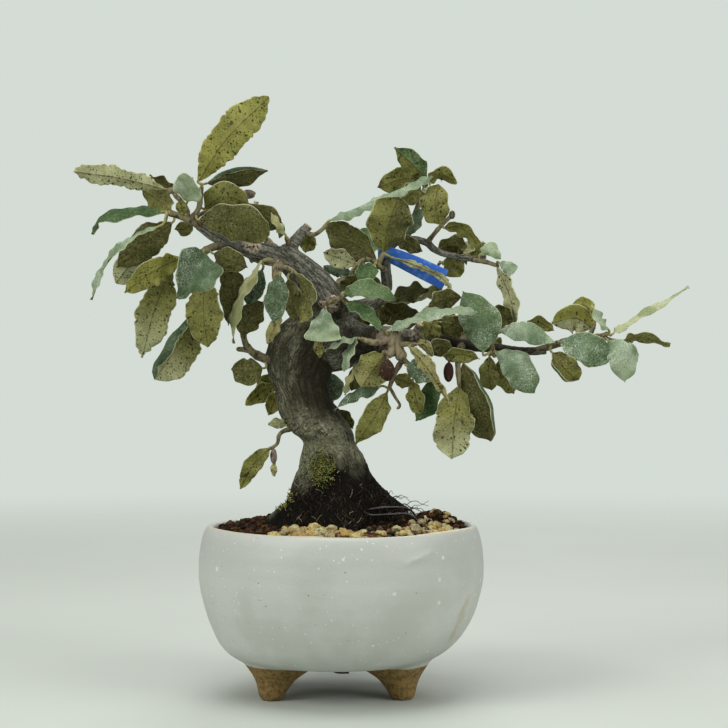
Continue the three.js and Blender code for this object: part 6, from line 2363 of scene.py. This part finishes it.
             12.6, 12, Form.BLUNT, Tone.SAGE, tip=Tone.GREEN),
        Leaf(((104.2, -11.4, 137), (110, -17, 131.4), (110.6, -16, 120.8)),
             12.6, 6, tone=Tone.MINT, tip=Tone.PALE),
        Leaf(((98.4, -5, 142), (91, -4.4, 146), (82, -3, 144)), 12, 155, tone=Tone.YELLOW, half=Tone.GREY),
        Leaf(((98.2, -3.6, 147.6), (95, -2.6, 150.8), (89.6, -2, 151)), 6.4, 155, tone=Tone.YELLOW),
        Leaf(((104, -9.6, 141.4), (100.6, -11, 145), (97.8, -10, 151)), 5.4, 52, Form.STRAP, Tone.PALE),
        Leaf(((105.2, -9, 139.4), (110, -10, 143), (122, -12, 150.2), (135.6, -10, 158)),
             4, 60, Form.STRAP, Tone.GREY, margin=Margin.SMOOTH),
        Leaf(((109.4, -7, 137), (117, -7.6, 138.6), (128.2, -6, 135.4)), 6, 120, Form.STRAP),
    )),
    Spray("behind_centre", twigs=(
        Twig(((-4, 4, 152), (-3, 17, 157), (2, 30, 162), (8, 42, 166)), 2.2, 1),
    ), leaves=(
        Leaf(((-4, 18, 157.4), (-8, 26, 160), (-13, 35, 158)), 12, 92),
        Leaf(((1, 30, 162), (-5, 38, 163.4), (-11, 48, 160.6)), 12.6, 95, tone=Tone.GREEN),
        Leaf(((4, 32, 162.6), (9.6, 38, 161), (14, 47, 157)), 12, 86, Form.POINT, Tone.SHADED_OLIVE),
        Leaf(((8.4, 43.4, 166.4), (9.6, 54, 170), (11, 66, 170.6)), 13, 92),
        Leaf(((6.4, 43, 166), (0.6, 51, 166.6), (-5, 60, 163)), 12, 94, tone=Tone.YELLOW),
        Leaf(((7.4, 40.6, 167), (9, 45, 174), (13.4, 49, 181)), 13, 20, tone=Tone.GREEN),
    )),
    Spray("behind_left", twigs=(
        Twig(((-20, -2, 168), (-26, 9, 173), (-31, 20, 178), (-36, 31, 182)), 2, 0.9),
    ), leaves=(
        Leaf(((-29.6, 14, 177), (-37, 22, 181.4), (-44, 32, 184)), 13, 104),
        Leaf(((-33, 22, 180), (-39.6, 29, 186), (-46, 35, 191.4)), 12, 40, tone=Tone.GREEN),
        Leaf(((-36.4, 32, 182.6), (-35, 43, 186), (-34, 54, 187)), 12.6, 88, tone=Tone.SHADED_OLIVE),
        Leaf(((-31.6, 24, 179.6), (-27, 32, 182), (-25, 41, 180)), 11, 92),
        Leaf(((-26.6, 13, 172.6), (-22.4, 20, 170), (-20, 29, 166)), 11.6, 90, tone=Tone.YELLOW),
    )),
    Spray("behind_right", twigs=(
        Twig(((46, -2.4, 136), (50, 10, 139), (54, 23, 142), (58, 35, 145)), 1.9, 0.9),
    ), leaves=(
        Leaf(((49, 11, 140), (43.4, 18, 145.6), (37.4, 25, 149)), 13, 118),
        Leaf(((52.6, 17, 141), (57, 25, 138.6), (62, 33, 135)), 12, 90, tone=Tone.GREEN),
        Leaf(((53.4, 24, 142.6), (48, 34, 145), (42.6, 44, 143)), 13, 96, tone=Tone.SHADED_OLIVE),
        Leaf(((56, 29.6, 144), (55, 39, 149.4), (51, 48, 152)), 12, 60),
        Leaf(((58.4, 36, 145.6), (60.4, 48, 148), (61, 61, 146)), 12.6, 90, tone=Tone.YELLOW),
        Leaf(((47, 9, 138.8), (40, 11, 141.4), (31, 13, 141)), 12.6, 140, tone=Tone.SHADED_OLIVE),
    )),
    Spray("behind_middle", twigs=(
        Twig(((13, 8.4, 153), (20, 19, 152.4), (27, 30, 153), (33, 40, 154.4)), 2, 0.9),
    ), leaves=(
        Leaf(((17, 13.4, 151.6), (23.6, 14, 147.4), (31, 15, 145)), 12.6, 150, tone=Tone.SHADED_OLIVE),
        Leaf(((15.4, 12.6, 151.6), (14.2, 13.4, 148), (13.6, 13.4, 142)), 11.6, 165, tone=Tone.SHADED_OLIVE),
        Leaf(((19.4, 16, 153.4), (26, 16.4, 156.4), (34, 17, 157.4)), 12, 132, tone=Tone.SHADED_OLIVE),
        Leaf(((15.4, 12, 150.4), (9.6, 11.6, 147.6), (3.4, 10, 144)), 9.4, 165, tone=Tone.SHADED_OLIVE),
        Leaf(((25.6, 30, 152.6), (21.4, 38, 149), (18, 47, 145.6)), 12, 88, tone=Tone.SHADED_OLIVE),
        Leaf(((28.6, 31, 153.4), (36, 35.4, 155.6), (44, 41, 154)), 12, 104),
        Leaf(((33.4, 41, 154.4), (37.4, 51, 152), (39.6, 61, 147.6)), 12.6, 90, tone=Tone.YELLOW),
    )),
    Spray("behind_trunk", twigs=(
        Twig(((-14, 5, 127), (-15, 19, 130), (-17, 32, 132)), 1.8, 0.9),
    ), leaves=(
        Leaf(((-14, 21, 130.6), (-10, 29, 134), (-8, 41, 136)), 12, 84),
        Leaf(((-16.6, 26, 131.6), (-21.6, 34, 134.6), (-25, 44, 135)), 12, 96, tone=Tone.GREEN),
        Leaf(((-17, 33, 132.4), (-17, 44, 134), (-16, 57, 131)), 12.6, 90, tone=Tone.SHADED_OLIVE),
        Leaf(((-16, 25, 130), (-19.6, 30, 124.4), (-22, 38, 118)), 11.6, 30),
    )),
)


def main() -> None:
    """Builds every piece in order around the frame and measures both sizes."""
    logging.basicConfig(level=logging.INFO, format="%(message)s")
    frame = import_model()
    frame_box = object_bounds()
    workshop = Workshop()
    Studio().build(workshop.axis)
    pot, gravel, soil = Pot(workshop), Gravel(workshop), Soil(workshop)
    pot.build()
    gravel.build(soil)
    soil.build(pot, gravel)
    trunk = Trunk(workshop).build()
    Undergrowth(workshop).build(trunk)
    AnchorWire(workshop).build()
    PlantTag(workshop).build()
    materials = [LeafFinish().material(), WoodyFinish().material()]
    for spray in SPRAYS:
        spray.build(workshop, materials)
    net = PlasticFinish("net_plastic", Colour(44, 46, 47), Colour(78, 78, 74), 0.6)
    frame["nodes"]["drainage_mesh"].material_slots[0].material = net.material()
    sizes = {"frame": frame_box, "dressed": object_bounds()}
    json.dumps({name: [list(corner) for corner in box] for name, box in sizes.items()})


if __name__ == "__main__":
    main()
